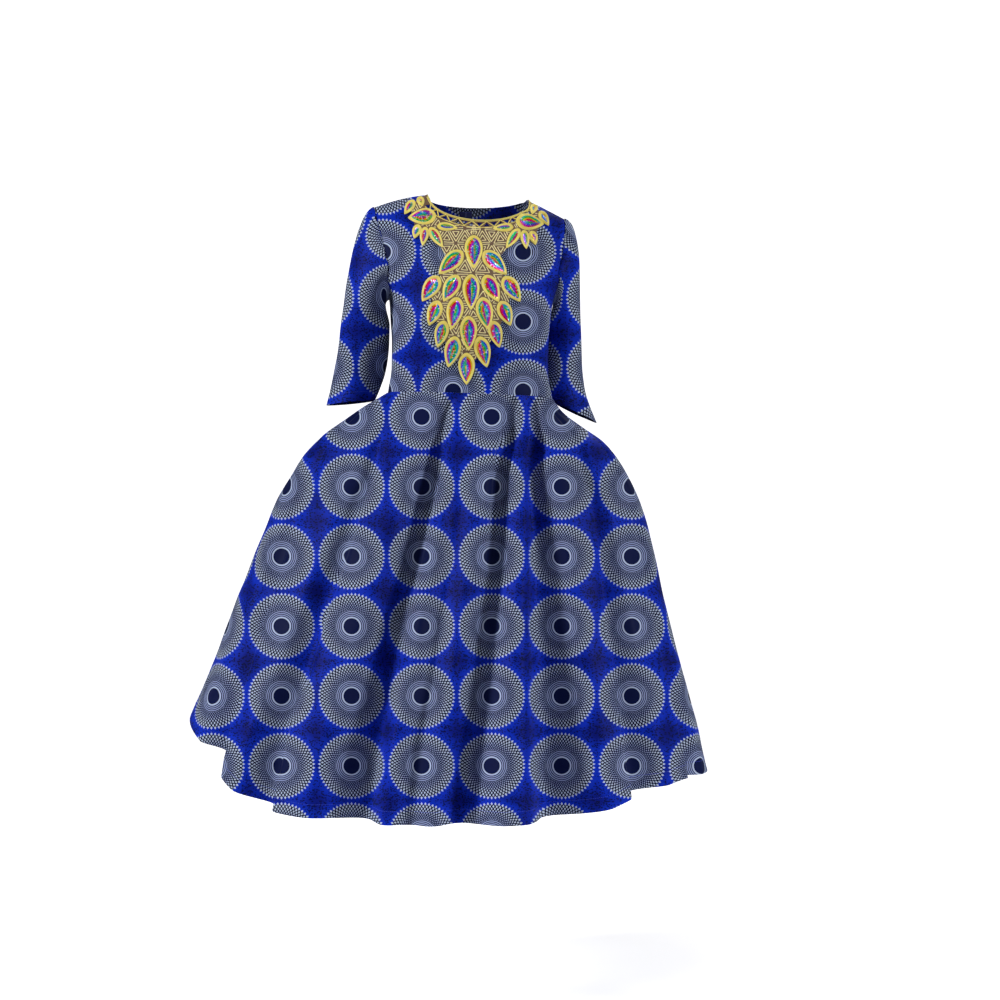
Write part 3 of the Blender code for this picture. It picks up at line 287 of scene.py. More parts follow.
class DressForm:
    """The dress's outer surface, worked out from its sections."""

    # Angles at which the bodice's side is sampled
    SIDE_ANGLES = range(30, 155, 4)
    # A section's power curve stops just short of its widest place
    WIDEST = 0.9999

    def __init__(self, sizes: DressSizes) -> None:
        """Keeps the sizes."""
        self.sizes = sizes

    def section(
        self, row: Sequence[float], angle: float, square: float, turn: float, rear: bool, side: int
    ) -> Spot:
        """Finds a point on one body section.

        Args:
            row: left x, right x, front depth and back depth.
            angle: degrees from the front.
            square: the section's squareness.
            turn: the section's turn in degrees.
            rear: whether the point is on a back panel.
            side: -1 or 1 for a back half, which keeps it off the centre seam, or 0.

        Returns:
            x and y.
        """
        left, right, front, back = row
        half_seam = self.sizes.seam / 2
        s, c = math.sin(math.radians(angle)), math.cos(math.radians(angle))
        scale = (abs(s) ** square + abs(c) ** square) ** (-1 / square)
        across = (right - left) / 2 * s * scale
        if side:
            across = side * max(side * across, half_seam)
        depth = max((back if rear else front) * abs(c) * scale, half_seam)
        turned = math.radians(turn)
        y = depth if rear else -depth
        return (
            (left + right) / 2 + across * math.cos(turned) - y * math.sin(turned),
            across * math.sin(turned) + y * math.cos(turned),
        )

    def shoulder_drop(self, x: float) -> float:
        """Returns how far the shoulder line lies below its high point.

        Args:
            x: where along the shoulders.

        Returns:
            The drop in metres.
        """
        for way, start, drop, run, power in self.sizes.shoulders:
            if way * x > start:
                return drop * ((way * x - start) / run) ** power
        return 0.0

    def torso_turn(self, level: float) -> float:
        """Returns the torso's turn."""
        return lerp(self.sizes.waist_turn, self.sizes.chest_turn, ease(level / self.sizes.chest_level))

    def bodice_point(self, angle: float, level: float, rear: bool = False, side: int = 0) -> Vector:
        """Finds a point of the bodice's outer surface.

        Args:
            angle: degrees from the front.
            level: height above the waist seam.
            rear: whether the point is on a back panel.
            side: -1 or 1 for a back half, or 0.

        Returns:
            The point.
        """
        s = self.sizes
        row, turn = smooth_row(s.bodice, level), self.torso_turn(level)
        x, y = self.section(row, angle, s.torso_squareness, turn, rear, side)
        share = level / s.bodice_height
        z = s.waist_z + level - s.waist_tilt * math.sin(math.radians(angle)) * (1 - ease(share))
        z -= ease((level - s.underarm) / (s.bodice_height - s.underarm)) * self.shoulder_drop(x)
        return Vector((x, y, z))

    def fold_state(self, fold: Fold, drop: float) -> tuple[float, float, float]:
        """Follows a fold down the skirt.

        Args:
            fold: the fold.
            drop: metres below the waist seam.

        Returns:
            Its angle in degrees, and its depth and half width in metres.
        """
        s = self.sizes
        to_hip = ease(min(drop / s.hip_drop, 1.0)) ** s.hip_ease
        below = min(max(drop - s.hip_drop, 0.0) / s.hem_run, 1.0)
        angle = lerp(lerp(fold.waist, fold.hip, to_hip), fold.hem, below)
        depth = lerp(fold.depth_waist, fold.depth_hip, to_hip) * ease(drop / s.pleat_run)
        depth = lerp(depth, fold.depth_hem, below**s.hem_ease)
        width = lerp(fold.half_waist, fold.half_hem, min(drop / s.width_run, 1.0) ** s.width_ease)
        return angle, depth / 1000, width / 1000

    def skirt_section(self, drop: float) -> tuple[list[float], float, float]:
        """Reads the skirt's section.

        Args:
            drop: metres below the waist seam.

        Returns:
            The table's row, the squareness and the turn.
        """
        s = self.sizes
        share = ease(drop / s.hip_drop)
        square = lerp(s.torso_squareness, s.skirt_squareness, share)
        return smooth_row(s.skirt, drop), square, lerp(s.waist_turn, 0.0, share)

    def skirt_point(self, folds: Sequence[Fold], angle: float, drop: float, rear: bool, side: int) -> Vector:
        """Finds a point of the skirt's outer surface.

        Args:
            folds: the panel's folds.
            angle: degrees from the front.
            drop: metres below the waist seam.
            rear: whether the point is on a back panel.
            side: -1 or 1 for a back half, or 0.

        Returns:
            The point.
        """
        row, square, turn = self.skirt_section(drop)
        x, y = self.section(row, angle, square, turn, rear, side)
        middle = (row[0] + row[1]) / 2
        out = Vector((x - middle, y, 0))
        reach = out.length
        inward = 0.0
        for fold in folds:
            at, depth, width = self.fold_state(fold, drop)
            t = abs(math.radians(angle - at)) * reach / width
            if t < 1:
                inward += depth * (0.5 + 0.5 * math.cos(math.pi * t)) ** self.sizes.fold_roundness
        out *= 1 - inward / reach
        z = self.sizes.waist_z - self.sizes.waist_tilt * math.sin(math.radians(angle)) - drop
        return Vector((middle + out.x, out.y, z))

    def skirt_length(self, angle: float) -> float:
        """Returns the drop from the waist seam to the hem.

        Args:
            angle: degrees from the front.

        Returns:
            Metres.
        """
        s = self.sizes
        hem = smooth_row(s.hem, (angle + 90) % 360 - 90)[0]
        return s.waist_z - s.waist_tilt * math.sin(math.radians(angle)) - s.seam - hem

    def skirt_axis(self, drop: float, depthwise: bool) -> Vector:
        """Returns the section's turned Y axis, or its X axis."""
        return self.turned_axis(self.skirt_section(max(drop, 0.0))[2], depthwise)

    @staticmethod
    def turned_axis(turn: float, depthwise: bool) -> Vector:
        """Returns the Y or X axis turned about the vertical."""
        t = math.radians(turn)
        return Vector((-math.sin(t), math.cos(t), 0)) if depthwise else Vector((math.cos(t), math.sin(t), 0))

    def angle_at(self, across: float, level: float, rear: bool = False) -> float:
        """Finds the angle whose point lies a distance from the section's middle.

        Args:
            across: metres from the middle.
            level: height above the waist seam.
            rear: whether the point is on the back.

        Returns:
            Degrees from the front.
        """
        left, right = smooth_row(self.sizes.bodice, level)[:2]
        power = self.sizes.torso_squareness
        share = min(abs(across) / ((right - left) / 2), self.WIDEST) ** power
        turned = math.degrees(math.atan2(share ** (1 / power), (1 - share) ** (1 / power)))
        turned = 180 - turned if rear else turned
        return turned if across >= 0 else -turned

    def neck_curve(self, share: float, drop: float, rear: bool = False) -> Spot:
        """Follows the neckline.

        Args:
            share: 0 at the left neck point and 1 at the right.
            drop: the neckline's depth.
            rear: whether it is the back neckline.

        Returns:
            Angle and level.
        """
        s = self.sizes
        swing = math.pi * share
        x = lerp(s.neck_left_x, s.neck_right_x, 0.5 - 0.5 * math.cos(swing))
        level = s.bodice_height - drop * math.sin(swing) ** s.neck_fullness
        left, right = s.bodice[-1][1:3]
        return self.angle_at(x - (left + right) / 2, level, rear), level

    def armhole_angle(self, level: float, rear: bool) -> float:
        """Returns the armhole edge's angle.

        Args:
            level: height above the waist seam, from underarm to shoulder.
            rear: whether it is the back's armhole.

        Returns:
            Degrees from the front.
        """
        s = self.sizes
        t = (level - s.underarm) / (s.bodice_height - s.underarm)
        rise = min(max(t, 0.0) / s.armhole_run, 1.0) ** s.armhole_fullness
        turned = 90 - (90 - s.shoulder_angle) * rise
        return 180 - turned if rear else turned

    def side_x(self, y: float, level: float, side: int) -> Optional[float]:
        """Finds the bodice's side at a depth.

        Args:
            y: the depth.
            level: height above the waist seam.
            side: -1 or 1.

        Returns:
            x there, or None past the front or back.
        """
        samples = [self.bodice_point(side * a, level, a > 90) for a in self.SIDE_ANGLES]
        for low, high in zip(samples, samples[1:]):
            if low.y <= y <= high.y:
                return lerp(low.x, high.x, (y - low.y) / (high.y - low.y))
        return None


@dataclass(frozen=True)
class Crease:
    """A soft crease between two places of a panel, in millimetres. A minus depth makes a ridge."""

    start: Spot
    end: Spot
    depth: float
    width: float


@dataclass(frozen=True)
class PrintPlace:
    """Where the print's disc grid lies on a panel: one disc's middle as x and z in metres."""

    x: float
    z: float
    from_front: bool = True
    start_column: float = 0.5
    stretch: float = 1.8


class PrintMap:
    """Lays the print on a panel: flat to the eye where the cloth faces it, along the cloth where it turns."""

    PITCH_X = 0.1359
    PITCH_Z = 0.1354
    EYE = Vector((0.0388, -5.0, -0.590))
    # Largest stretch at the panel's sides, and the stretch over which hidden fold sides may run back
    SIDE_STRETCH = 1.8
    FOLD_STRETCH = 3.0
    # Where the stretch starts to ease towards a panel's sides, and over which share
    SIDE_START = 0.80
    SIDE_RUN = 0.14
    # How fast the print returns to its place after a fold
    CATCH_UP = 0.9

    def __init__(self, place: PrintPlace) -> None:
        """Keeps the place."""
        self.place = place

    def limit(self, share: float) -> float:
        """Returns how far the print may stretch at a place across the panel."""
        side = min(self.SIDE_STRETCH, self.place.stretch)
        return lerp(self.place.stretch, side, ease((share - self.SIDE_START) / self.SIDE_RUN))

    def seen(self, point: Vector) -> Spot:
        """Returns a point's x and z on the print's plane.

        Args:
            point: a point of the cloth.

        Returns:
            x and z in metres.
        """
        if not self.place.from_front:
            return point.x, point.z
        share = -self.EYE.y / (point.y - self.EYE.y)
        return self.EYE.x + (point.x - self.EYE.x) * share, self.EYE.z + (point.z - self.EYE.z) * share

    def spread(self, grid: Grid, order: Sequence[int]) -> UvGrid:
        """Works out the print's coordinates, in discs.

        Args:
            grid: the panel's outer points.
            order: the columns from one edge, or from the tube's seam, to the other.

        Returns:
            One pair for each row and place in the order.
        """
        coordinates = []
        for row in grid:
            line = [row[c] for c in order]
            flat = [self.seen(p) for p in line]
            start = round(self.place.start_column * (len(line) - 1))
            us = [0.0] * len(line)
            us[start] = flat[start][0]
            for way, stop in ((1, len(line)), (-1, -1)):
                first = start + way
                if not 0 <= first < len(line):
                    continue
                heading = 1.0 if flat[first][0] >= flat[start][0] else -1.0
                for c in range(first, stop, way):
                    run = (line[c] - line[c - way]).length
                    step = (flat[c][0] - flat[c - way][0]) * heading
                    limit = self.limit(abs(2 * c / (len(line) - 1) - 1))
                    if limit > self.FOLD_STRETCH:
                        step = math.copysign(max(abs(step), run / limit), step)
                    else:
                        step = max(step, run / limit)
                    if self.place.from_front:
                        ahead = (us[c - way] - flat[c - way][0]) * heading
                        slack = self.CATCH_UP * max(0.0, abs(step) - run / 2)
                        step -= max(-slack, min(slack, ahead))
                    us[c] = us[c - way] + heading * step
            discs = []
            for u, (_, z) in zip(us, flat):
                discs.append(((u - self.place.x) / self.PITCH_X, (z - self.place.z) / self.PITCH_Z))
            coordinates.append(discs)
        return coordinates


class MeshDraft:
    """Collects one piece's points, faces, print coordinates and finishes."""

    def __init__(self) -> None:
        """Starts empty."""
        self.points: list[Vector] = []
        self.faces: list[tuple[int, ...]] = []
        self.uvs: list[Spot] = []
        self.finish_of: list[int] = []
        self.face_uvs: list[Optional[Sequence[Spot]]] = []

    def point(self, place: Vector, uv: Spot = (0.0, 0.0)) -> int:
        """Adds a point.

        Args:
            place: where it is.
            uv: its pattern coordinates.

        Returns:
            Its number.
        """
        self.points.append(Vector(place))
        self.uvs.append(uv)
        return len(self.points) - 1

    def face(self, numbers: Sequence[int], finish: int = 0, uvs: Optional[Sequence[Spot]] = None) -> None:
        """Adds a face.

        Args:
            numbers: its points, going left round seen from outside.
            finish: which of the piece's finishes it has.
            uvs: its own pattern coordinates, where they aren't its points'.
        """
        self.faces.append(tuple(numbers))
        self.finish_of.append(finish)
        self.face_uvs.append(uvs)

    def tube(
        self, path: Sequence[Vector], outs: Sequence[Vector], radius: float, sides: int, closed: bool
    ) -> None:
        """Sweeps a round cord along a path over a surface.

        Args:
            path: the cord's middle line.
            outs: the direction out of the surface at each point.
            radius: the cord's radius.
            sides: how many sides it has.
            closed: whether it joins up with itself.
        """
        count = len(path)
        rings: list[list[int]] = []
        run = 0.0
        for k, middle in enumerate(path):
            before = path[k - 1] if closed or k else path[k]
            after = path[(k + 1) % count] if closed or k + 1 < count else path[k]
            if k:
                run += (middle - path[k - 1]).length
            along = (after - before).normalized()
            across = along.cross(outs[k]).normalized()
            out = across.cross(along).normalized()
            ring = []
            for j in range(sides):
                a = 2 * math.pi * j / sides
                place = middle + (across * math.cos(a) + out * math.sin(a)) * radius
                ring.append(self.point(place, (run * 1000, j / sides)))
            rings.append(ring)
        for k in range(count if closed else count - 1):
            a, b = rings[k], rings[(k + 1) % count]
            for j in range(sides):
                m = (j + 1) % sides
                self.face((a[j], b[j], b[m], a[m]))
        if not closed:
            self.face(rings[0])
            self.face(rings[-1][::-1])

    def build(self, name: str, finishes: Sequence[Finish], sharp_deg: float = 40.0) -> Piece:
        """Makes the piece.

        Args:
            name: the piece's name.
            finishes: its materials.
            sharp_deg: edges that turn more than this are drawn sharp.

        Returns:
            The object.
        """
        mesh = bpy.data.meshes.new(name)
        mesh.from_pydata([tuple(p) for p in self.points], [], self.faces)
        layer = mesh.uv_layers.new(name="pattern")
        flat: list[float] = []
        for face, own in zip(self.faces, self.face_uvs):
            for uv in own or [self.uvs[n] for n in face]:
                flat.extend(uv)
        layer.data.foreach_set("uv", flat)
        for finish in finishes:
            mesh.materials.append(finish)
        mesh.polygons.foreach_set("material_index", self.finish_of)
        mesh.shade_smooth()
        mesh.set_sharp_from_angle(angle=math.radians(sharp_deg))
        mesh.update()
        made = bpy.data.objects.new(name, mesh)
        bpy.context.scene.collection.objects.link(made)
        return made


Seam = Callable[[int, int], Vector]


class ClothPanel:
    """One cut and sewn panel: a thin shell on the form, with uneven creases and its print."""

    THICKNESS = 0.0009
    # How far each inner side edge reaches into the seam gap, so that no light shows through
    SEAM_REACH = 0.00014
    EDGE_FADE = 0.012
    RIPPLE = 0.0011
    RIPPLE_SIZE = 0.055
    # Power of the curve of a crease's depth along it, and how many widths beside it the crease ends
    CREASE_FULLNESS = 0.45
    CREASE_REACH = 3

    def __init__(
        self,
        name: str,
        grid: Grid,
        seams: dict[str, Seam],
        place: PrintPlace,
        tube_seam: Optional[int] = None,
    ) -> None:
        """Keeps the panel's outer points. Rows go up and columns run left to right seen from outside.

        Args:
            name: the piece's name.
            grid: the outer points.
            seams: top, bottom, left or right to the direction that the edge stays square to.
            place: where the print lies.
            tube_seam: the column of a tube's own seam, or None for a flat panel.
        """
        self.name = name
        self.grid = grid
        self.seams = seams
        self.place = place
        self.closed = tube_seam is not None
        columns = len(grid[0])
        self.order = [((tube_seam or 0) + i) % columns for i in range(columns + self.closed)]
        self.normals = self.find_normals()

    def find_normals(self) -> Grid:
        """Returns the outward normal at each point."""
        rows, columns = len(self.grid), len(self.grid[0])
        normals = []
        for r in range(rows):
            line = []
            for c in range(columns):
                if self.closed:
                    along = self.grid[r][(c + 1) % columns] - self.grid[r][c - 1]
                else:
                    along = self.grid[r][min(c + 1, columns - 1)] - self.grid[r][max(c - 1, 0)]
                up = self.grid[min(r + 1, rows - 1)][c] - self.grid[max(r - 1, 0)][c]
                line.append(along.cross(up).normalized())
            normals.append(line)
        return normals

    def moved_out(self, distance: float) -> "ClothPanel":
        """Moves the outer points out.

        Args:
            distance: how far.

        Returns:
            The panel itself.
        """
        self.grid = [[p + n * distance for p, n in zip(*pair)] for pair in zip(self.grid, self.normals)]
        self.normals = self.find_normals()
        return self

    def area(self) -> float:
        """Returns the outer side's area in square metres."""
        total = 0.0
        for low, high in zip(self.grid, self.grid[1:]):
            for c, d in zip(self.order, self.order[1:]):
                total += (low[d] - low[c]).cross(high[c] - low[c]).length / 2
                total += (high[d] - high[c]).cross(high[d] - low[d]).length / 2
        return total

    def inner_points(self, thickness: float) -> Grid:
        """Returns the inner points, with the panel's seamed edges kept in their planes.

        Args:
            thickness: the shell's thickness.

        Returns:
            The points.
        """
        rows, columns = len(self.grid), len(self.grid[0])
        inner = []
        for r in range(rows):
            line = []
            for c in range(columns):
                step = -thickness * self.normals[r][c]
                on = {"bottom": r == 0, "top": r == rows - 1, "left": c == 0, "right": c == columns - 1}
                for name, seam in self.seams.items():
                    if not on[name]:
                        continue
                    normal = seam(r, c)
                    step = step - normal * step.dot(normal)
                    if name in ("left", "right"):
                        inside = self.grid[r][1 if name == "left" else columns - 2]
                        way = (self.grid[r][c] - inside).dot(normal)
                        step = step + normal * math.copysign(self.SEAM_REACH, way)
                line.append(self.grid[r][c] + step)
            inner.append(line)
        return inner

    def spot(self, place: Spot) -> Vector:
        """Returns a place's point."""
        line = self.grid[round(place[1] * (len(self.grid) - 1))]
        return line[round(place[0] * (len(line) - 1))]

    def crease(self, creases: Iterable[Crease]) -> None:
        """Presses creases and a slight unevenness into the outer points, fading out at the sewn edges.

        Args:
            creases: the creases.
        """
        lines = [(self.spot(c.start), self.spot(c.end), c.depth / 1000, c.width / 1000) for c in creases]
        low, high = self.grid[0], self.grid[-1]
        moved = []
        for r, line in enumerate(self.grid):
            new = []
            for c, p in enumerate(line):
                push = self.RIPPLE * noise.noise(p / self.RIPPLE_SIZE)
                for start, end, depth, width in lines:
                    run = end - start
                    t = (p - start).dot(run) / run.length_squared
                    if not 0 < t < 1:
                        continue
                    away = (p - start - run * t).length / width
                    if away < self.CREASE_REACH:
                        push += depth * math.exp(-away * away) * math.sin(math.pi * t) ** self.CREASE_FULLNESS
                fade = min((p - low[c]).length, (p - high[c]).length)
                if not self.closed:
                    fade = min(fade, (p - line[0]).length, (p - line[-1]).length)
                new.append(p - self.normals[r][c] * push * ease(fade / self.EDGE_FADE))
            moved.append(new)
        self.grid = moved
        self.normals = self.find_normals()

    def build(self, finish: Finish) -> Piece:
        """Makes the shell.

        Args:
            finish: the cloth.

        Returns:
            The object.
        """
        draft = MeshDraft()
        uvs = PrintMap(self.place).spread(self.grid, self.order)
        outer = [[draft.point(p) for p in line] for line in self.grid]
        inner = [[draft.point(p) for p in line] for line in self.inner_points(self.THICKNESS)]
        rows = len(self.grid)
        for i, (c, d) in enumerate(zip(self.order, self.order[1:])):
            for r in range(rows - 1):
                a, b, e, f = uvs[r][i], uvs[r][i + 1], uvs[r + 1][i + 1], uvs[r + 1][i]
                draft.face((outer[r][c], outer[r][d], outer[r + 1][d], outer[r + 1][c]), 0, (a, b, e, f))
                draft.face((inner[r][d], inner[r][c], inner[r + 1][c], inner[r + 1][d]), 0, (b, a, f, e))
            a, b, e, f = uvs[0][i], uvs[0][i + 1], uvs[-1][i + 1], uvs[-1][i]
            draft.face((outer[0][d], outer[0][c], inner[0][c], inner[0][d]), 0, (b, a, a, b))
            draft.face((outer[-1][c], outer[-1][d], inner[-1][d], inner[-1][c]), 0, (f, e, e, f))
        if not self.closed:
            for r in range(rows - 1):
                a, f = uvs[r][0], uvs[r + 1][0]
                b, e = uvs[r][-1], uvs[r + 1][-1]
                draft.face((outer[r][0], outer[r + 1][0], inner[r + 1][0], inner[r][0]), 0, (a, f, f, a))
                draft.face((outer[r + 1][-1], outer[r][-1], inner[r][-1], inner[r + 1][-1]), 0, (e, b, b, e))
        return draft.build(self.name, [finish])


class Panels:
    """Lays out every panel's points on the form, finer than the construction by whole steps."""

    FINE_ROWS = 4
    FINE_COLUMNS = 3
    SIDE_ROWS = 5 * FINE_ROWS
    ARMHOLE_ROWS = 8 * FINE_ROWS
    SKIRT_ROWS = (0.0, 0.012, 0.032, 0.060, 0.095, 0.136, 0.20, 0.28, 0.38, 0.50, 0.62, 0.74, 0.87, 1.0)
    SKIRT_FINE_ROWS = 6
    SKIRT_FINE_COLUMNS = 4
    # The construction's columns along the neck, and along the left and right shoulders
    NECK_COLUMNS = 10
    SHOULDER_COLUMNS = (4, 3)
    ARMHOLE_SPACING = 1.35
    WALL = 0.0015
    # Sleeve cap: the armholes' middle, outward pull in y, start off the seam, its rows' spacing and number
    CAP_MIDDLE_X = -0.0115
    CAP_PULL_Y = 1.2
    CAP_START = 0.0009
    CAP_SPACING = 1.15
    CAP_ROWS = 6
    # Lengths of the cap's curve handles at the underarm and the shoulder, and the slope they leave with
    CAP_LEAVE = (0.016, 0.036)
    CAP_ARRIVE = (0.016, 0.085)
    CAP_SLOPE = -0.30
    # Sleeve's gap to the bodice's side: its most, and its growth below the underarm
    BODY_GAP = 0.0026
    BODY_GAP_GROWTH = 0.2
    # Guide columns: their share of a fold's width and of the way to the next fold
    FOLD_SHARE = 0.92
    FOLD_ROOM = 0.46
    # Least angle between guide columns, and the angle over which a cell gets twice the columns
    GUIDE_STEP = 0.35
    WIDE_CELL = 6.0
    SLEEVE_PRINTS = {
        Side.LEFT: PrintPlace(-0.30846, -0.06014, start_column=0.75),
        Side.RIGHT: PrintPlace(0.23183, -0.06208, start_column=0.25),
    }
    # A pocket slit's lip fades out over this part of the panel's width
    SLIT_PART = 6

    def __init__(self, form: DressForm) -> None:
        """Keeps the form."""
        self.form = form
        self.sizes = form.sizes

    def side_curve(self, rear: bool = False) -> list[Spot]:
        """Follows the side seam and the armhole up.

        Args:
            rear: whether it is a back's edge.

        Returns:
            Angle and level of each row.
        """
        s = self.sizes
        side = [(90.0, s.underarm * k / self.SIDE_ROWS) for k in range(self.SIDE_ROWS)]
        hole = []
        for k in range(self.ARMHOLE_ROWS + 1):
            level = lerp(s.underarm, s.bodice_height, (k / self.ARMHOLE_ROWS) ** self.ARMHOLE_SPACING)
            hole.append((self.form.armhole_angle(level, rear), level))
        return side + hole

    @staticmethod
    def line_between(start: Spot, end: Spot, count: int) -> list[Spot]:
        """Steps evenly from one spot to another."""
        shares = [k / count for k in range(count + 1)]
        return [(lerp(start[0], end[0], t), lerp(start[1], end[1], t)) for t in shares]

    @staticmethod
    def blend_patch(
        bottom: list[Spot], top: list[Spot], left: list[Spot], right: list[Spot]
    ) -> list[list[Spot]]:
        """Fills four border curves.

        Args:
            bottom: the lower border.
            top: the upper border.
            left: the left border, upwards.
            right: the right border, upwards.

        Returns:
            Rows of spots.
        """
        rows, columns = len(left), len(bottom)
        patch = []
        for r in range(rows):
            line = []
            for c in range(columns):
                u, v = c / (columns - 1), r / (rows - 1)
                v = 0.5 * ((left[r][1] - left[0][1]) / (left[-1][1] - left[0][1]) + v)
                if r in (0, rows - 1):
                    v = float(r > 0)
                spot = tuple(
                    (1 - v) * bottom[c][k]
                    + v * top[c][k]
                    + (1 - u) * left[r][k]
                    + u * right[r][k]
                    - (1 - u) * ((1 - v) * left[0][k] + v * left[-1][k])
                    - u * ((1 - v) * right[0][k] + v * right[-1][k])
                    for k in range(2)
                )
                line.append(left[r] if c == 0 else right[r] if c == columns - 1 else spot)
            patch.append(line)
        return patch

    def torso_seam(self, level: float, depthwise: bool) -> Vector:
        """Returns the direction that a bodice's sewn edge stays square to."""
        return self.form.turned_axis(self.form.torso_turn(level), depthwise)

    def neck_spots(self, drop: float, rear: bool) -> list[Spot]:
        """Returns the neckline's angles and levels, from the left to the right."""
        count = self.NECK_COLUMNS * self.FINE_COLUMNS
        return [self.form.neck_curve(k / count, drop, rear) for k in range(count + 1)]

    def bodice_front(self) -> ClothPanel:
        """Lays out the front bodice.

        Returns:
            The panel.
        """
        s = self.sizes
        on_left, on_right = (columns * self.FINE_COLUMNS for columns in self.SHOULDER_COLUMNS)
        neck = self.neck_spots(s.neck_front, False)
        height, tip = s.bodice_height, s.shoulder_angle
        top = self.line_between((-tip, height), (neck[0][0], height), on_left) + neck[1:-1]
        top += self.line_between((neck[-1][0], height), (tip, height), on_right)
        last = len(top) - 1
        bottom = self.line_between((-90.0, 0.0), (90.0, 0.0), last)
        right = self.side_curve()
        patch = self.blend_patch(bottom, top, [(-a, level) for a, level in right], right)
        grid = [[self.form.bodice_point(a, level) for a, level in line] for line in patch]
        for point in grid[0]:
            point.z += s.seam / 2

        def side_seam(r: int, c: int) -> Vector:
            """Returns the side seam's direction, or none on the armhole."""
            return self.torso_seam(patch[r][c][1], True) if r <= self.SIDE_ROWS else Vector()

        def shoulder(r: int, c: int) -> Vector:
            """Returns the shoulder seam's direction, or none on the neckline."""
            return self.torso_seam(height, True) if c <= on_left or c >= last - on_right else Vector()

        seams: dict[str, Seam] = {
            "bottom": lambda r, c: UP,
            "left": side_seam,
            "right": side_seam,
            "top": shoulder,
        }
        return ClothPanel("bodice_front_cloth", grid, seams, PrintPlace(-0.18818, -0.10864))

    def bodice_back(self, side: Side) -> ClothPanel:
        """Lays out one back half.

        Args:
            side: which half.

        Returns:
            The panel.
        """
        s, way = self.sizes, side.value
        steps = self.SHOULDER_COLUMNS[0 if way < 0 else 1] * self.FINE_COLUMNS
        height, tip = s.bodice_height, 180 - s.shoulder_angle
        neck = [(way * a, level) for a, level in self.neck_spots(s.neck_back, True)[::-way] if way * a > 0]
        middle = (180.0, height - s.neck_back)
        top = self.line_between((tip, height), (neck[0][0], height), steps) + neck[1:] + [middle]
        outline = self.side_curve(True)
        bottom = self.line_between((90.0, 0.0), (180.0, 0.0), len(top) - 1)
        centre = self.line_between((180.0, 0.0), middle, len(outline) - 1)
        patch = self.blend_patch(bottom, top, outline, centre)
        grid = [[self.form.bodice_point(way * a, level, True, way) for a, level in line] for line in patch]
        for point in grid[0]:
            point.z += s.seam / 2
        if way < 0:
            grid = [line[::-1] for line in grid]
            patch = [line[::-1] for line in patch]
        last = len(top) - 1

        def side_seam(r: int, c: int) -> Vector:
            """Returns the side seam's direction, or none on the armhole."""
            return self.torso_seam(patch[r][c][1], True) if r <= self.SIDE_ROWS else Vector()

        def centre_seam(r: int, c: int) -> Vector:
            """Returns the centre-back seam's direction."""
            return self.torso_seam(patch[r][c][1], False)

        def shoulder(r: int, c: int) -> Vector:
            """Returns the shoulder seam's direction, or none on the neckline."""
            from_tip = c if way > 0 else last - c
            return self.torso_seam(height, True) if from_tip <= steps else Vector()

        left, right = (side_seam, centre_seam) if way > 0 else (centre_seam, side_seam)
        seams: dict[str, Seam] = {"bottom": lambda r, c: UP, "left": left, "right": right, "top": shoulder}
        name = f"bodice_back_{side.word}_cloth"
        place = PrintPlace(-0.0211, -0.1086, False, 1.0 if way > 0 else 0.0, 1.0)
        return ClothPanel(name, grid, seams, place)

    def armhole_loop(self, front: Grid, back: Grid, way: int) -> list[Vector]:
        """Follows an armhole from the shoulder tip down the front and up the back.

        Args:
            front: the front bodice's points.
            back: the back half's points.
            way: -1 on the left, 1 on the right.

        Returns:
            The loop's points.
        """
        column, back_column = (0, -1) if way < 0 else (-1, 0)
        low = self.SIDE_ROWS
        down = [front[r][column] for r in range(len(front) - 1, low - 1, -1)]
        up = [back[r][back_column] for r in range(low + 1, len(back) - 1)]
        tip = (down[0] + back[-1][back_column]) / 2
        underarm = (down[-1] + back[low][back_column]) / 2
        return [tip] + down[1:-1] + [underarm] + up

    def clear_of_body(self, point: Vector, way: int) -> Vector:
        """Moves a sleeve's point out of the bodice's side where it comes too close.

        Args:
            point: the point.
            way: -1 on the left, 1 on the right.

        Returns:
            The point, or one just beside the body.
        """
        s = self.sizes
        level = point.z - s.waist_z
        if not 0 < level < s.underarm:
            return point
        edge = self.form.side_x(point.y, level, way)
        gap = min(self.BODY_GAP, s.seam + self.BODY_GAP_GROWTH * (s.underarm - level))
        if edge is not None and way * (point.x - edge) < gap:
            return Vector((edge + way * gap, point.y, point.z))
        return point

    def sleeve(self, side: Side, front: Grid, back: Grid, table: Sequence[Row], tilt: float) -> ClothPanel:
        """Lays out a set-in sleeve from the cuff up to the armhole.

        Args:
            side: which sleeve.
            front: the front bodice's points.
            back: the back half's points.
            table: z, outer x, inner x, middle y and half depth from the upper arm to the cuff.
            tilt: the cuff's slope.

        Returns:
            The panel.
        """
        way = side.value
        loop = self.armhole_loop(front, back, way)
        count = len(loop)
        pulls = [Vector((p.x - self.CAP_MIDDLE_X, p.y * self.CAP_PULL_Y, 0)).normalized() for p in loop]
        start = [p + pull * self.CAP_START for p, pull in zip(loop, pulls)]
        keyed = [(float(i), *row) for i, row in enumerate(table)]
        last = len(table) - 1

        def ring(key: float) -> list[Vector]:
            """Returns the sleeve's section at a place in its table."""
            z, outer_x, inner_x, middle_y, half_y = smooth_row(keyed, key)
            middle, half = (outer_x + inner_x) / 2, (outer_x - inner_x) / 2
            slope = tilt * (key / last) ** 2
            points = []
            for k in range(count):
                turn = 2 * math.pi * k / count
                x = middle + half * math.cos(turn)
                points.append(Vector((x, middle_y - half_y * math.sin(turn), z + slope * (x - middle))))
            return points

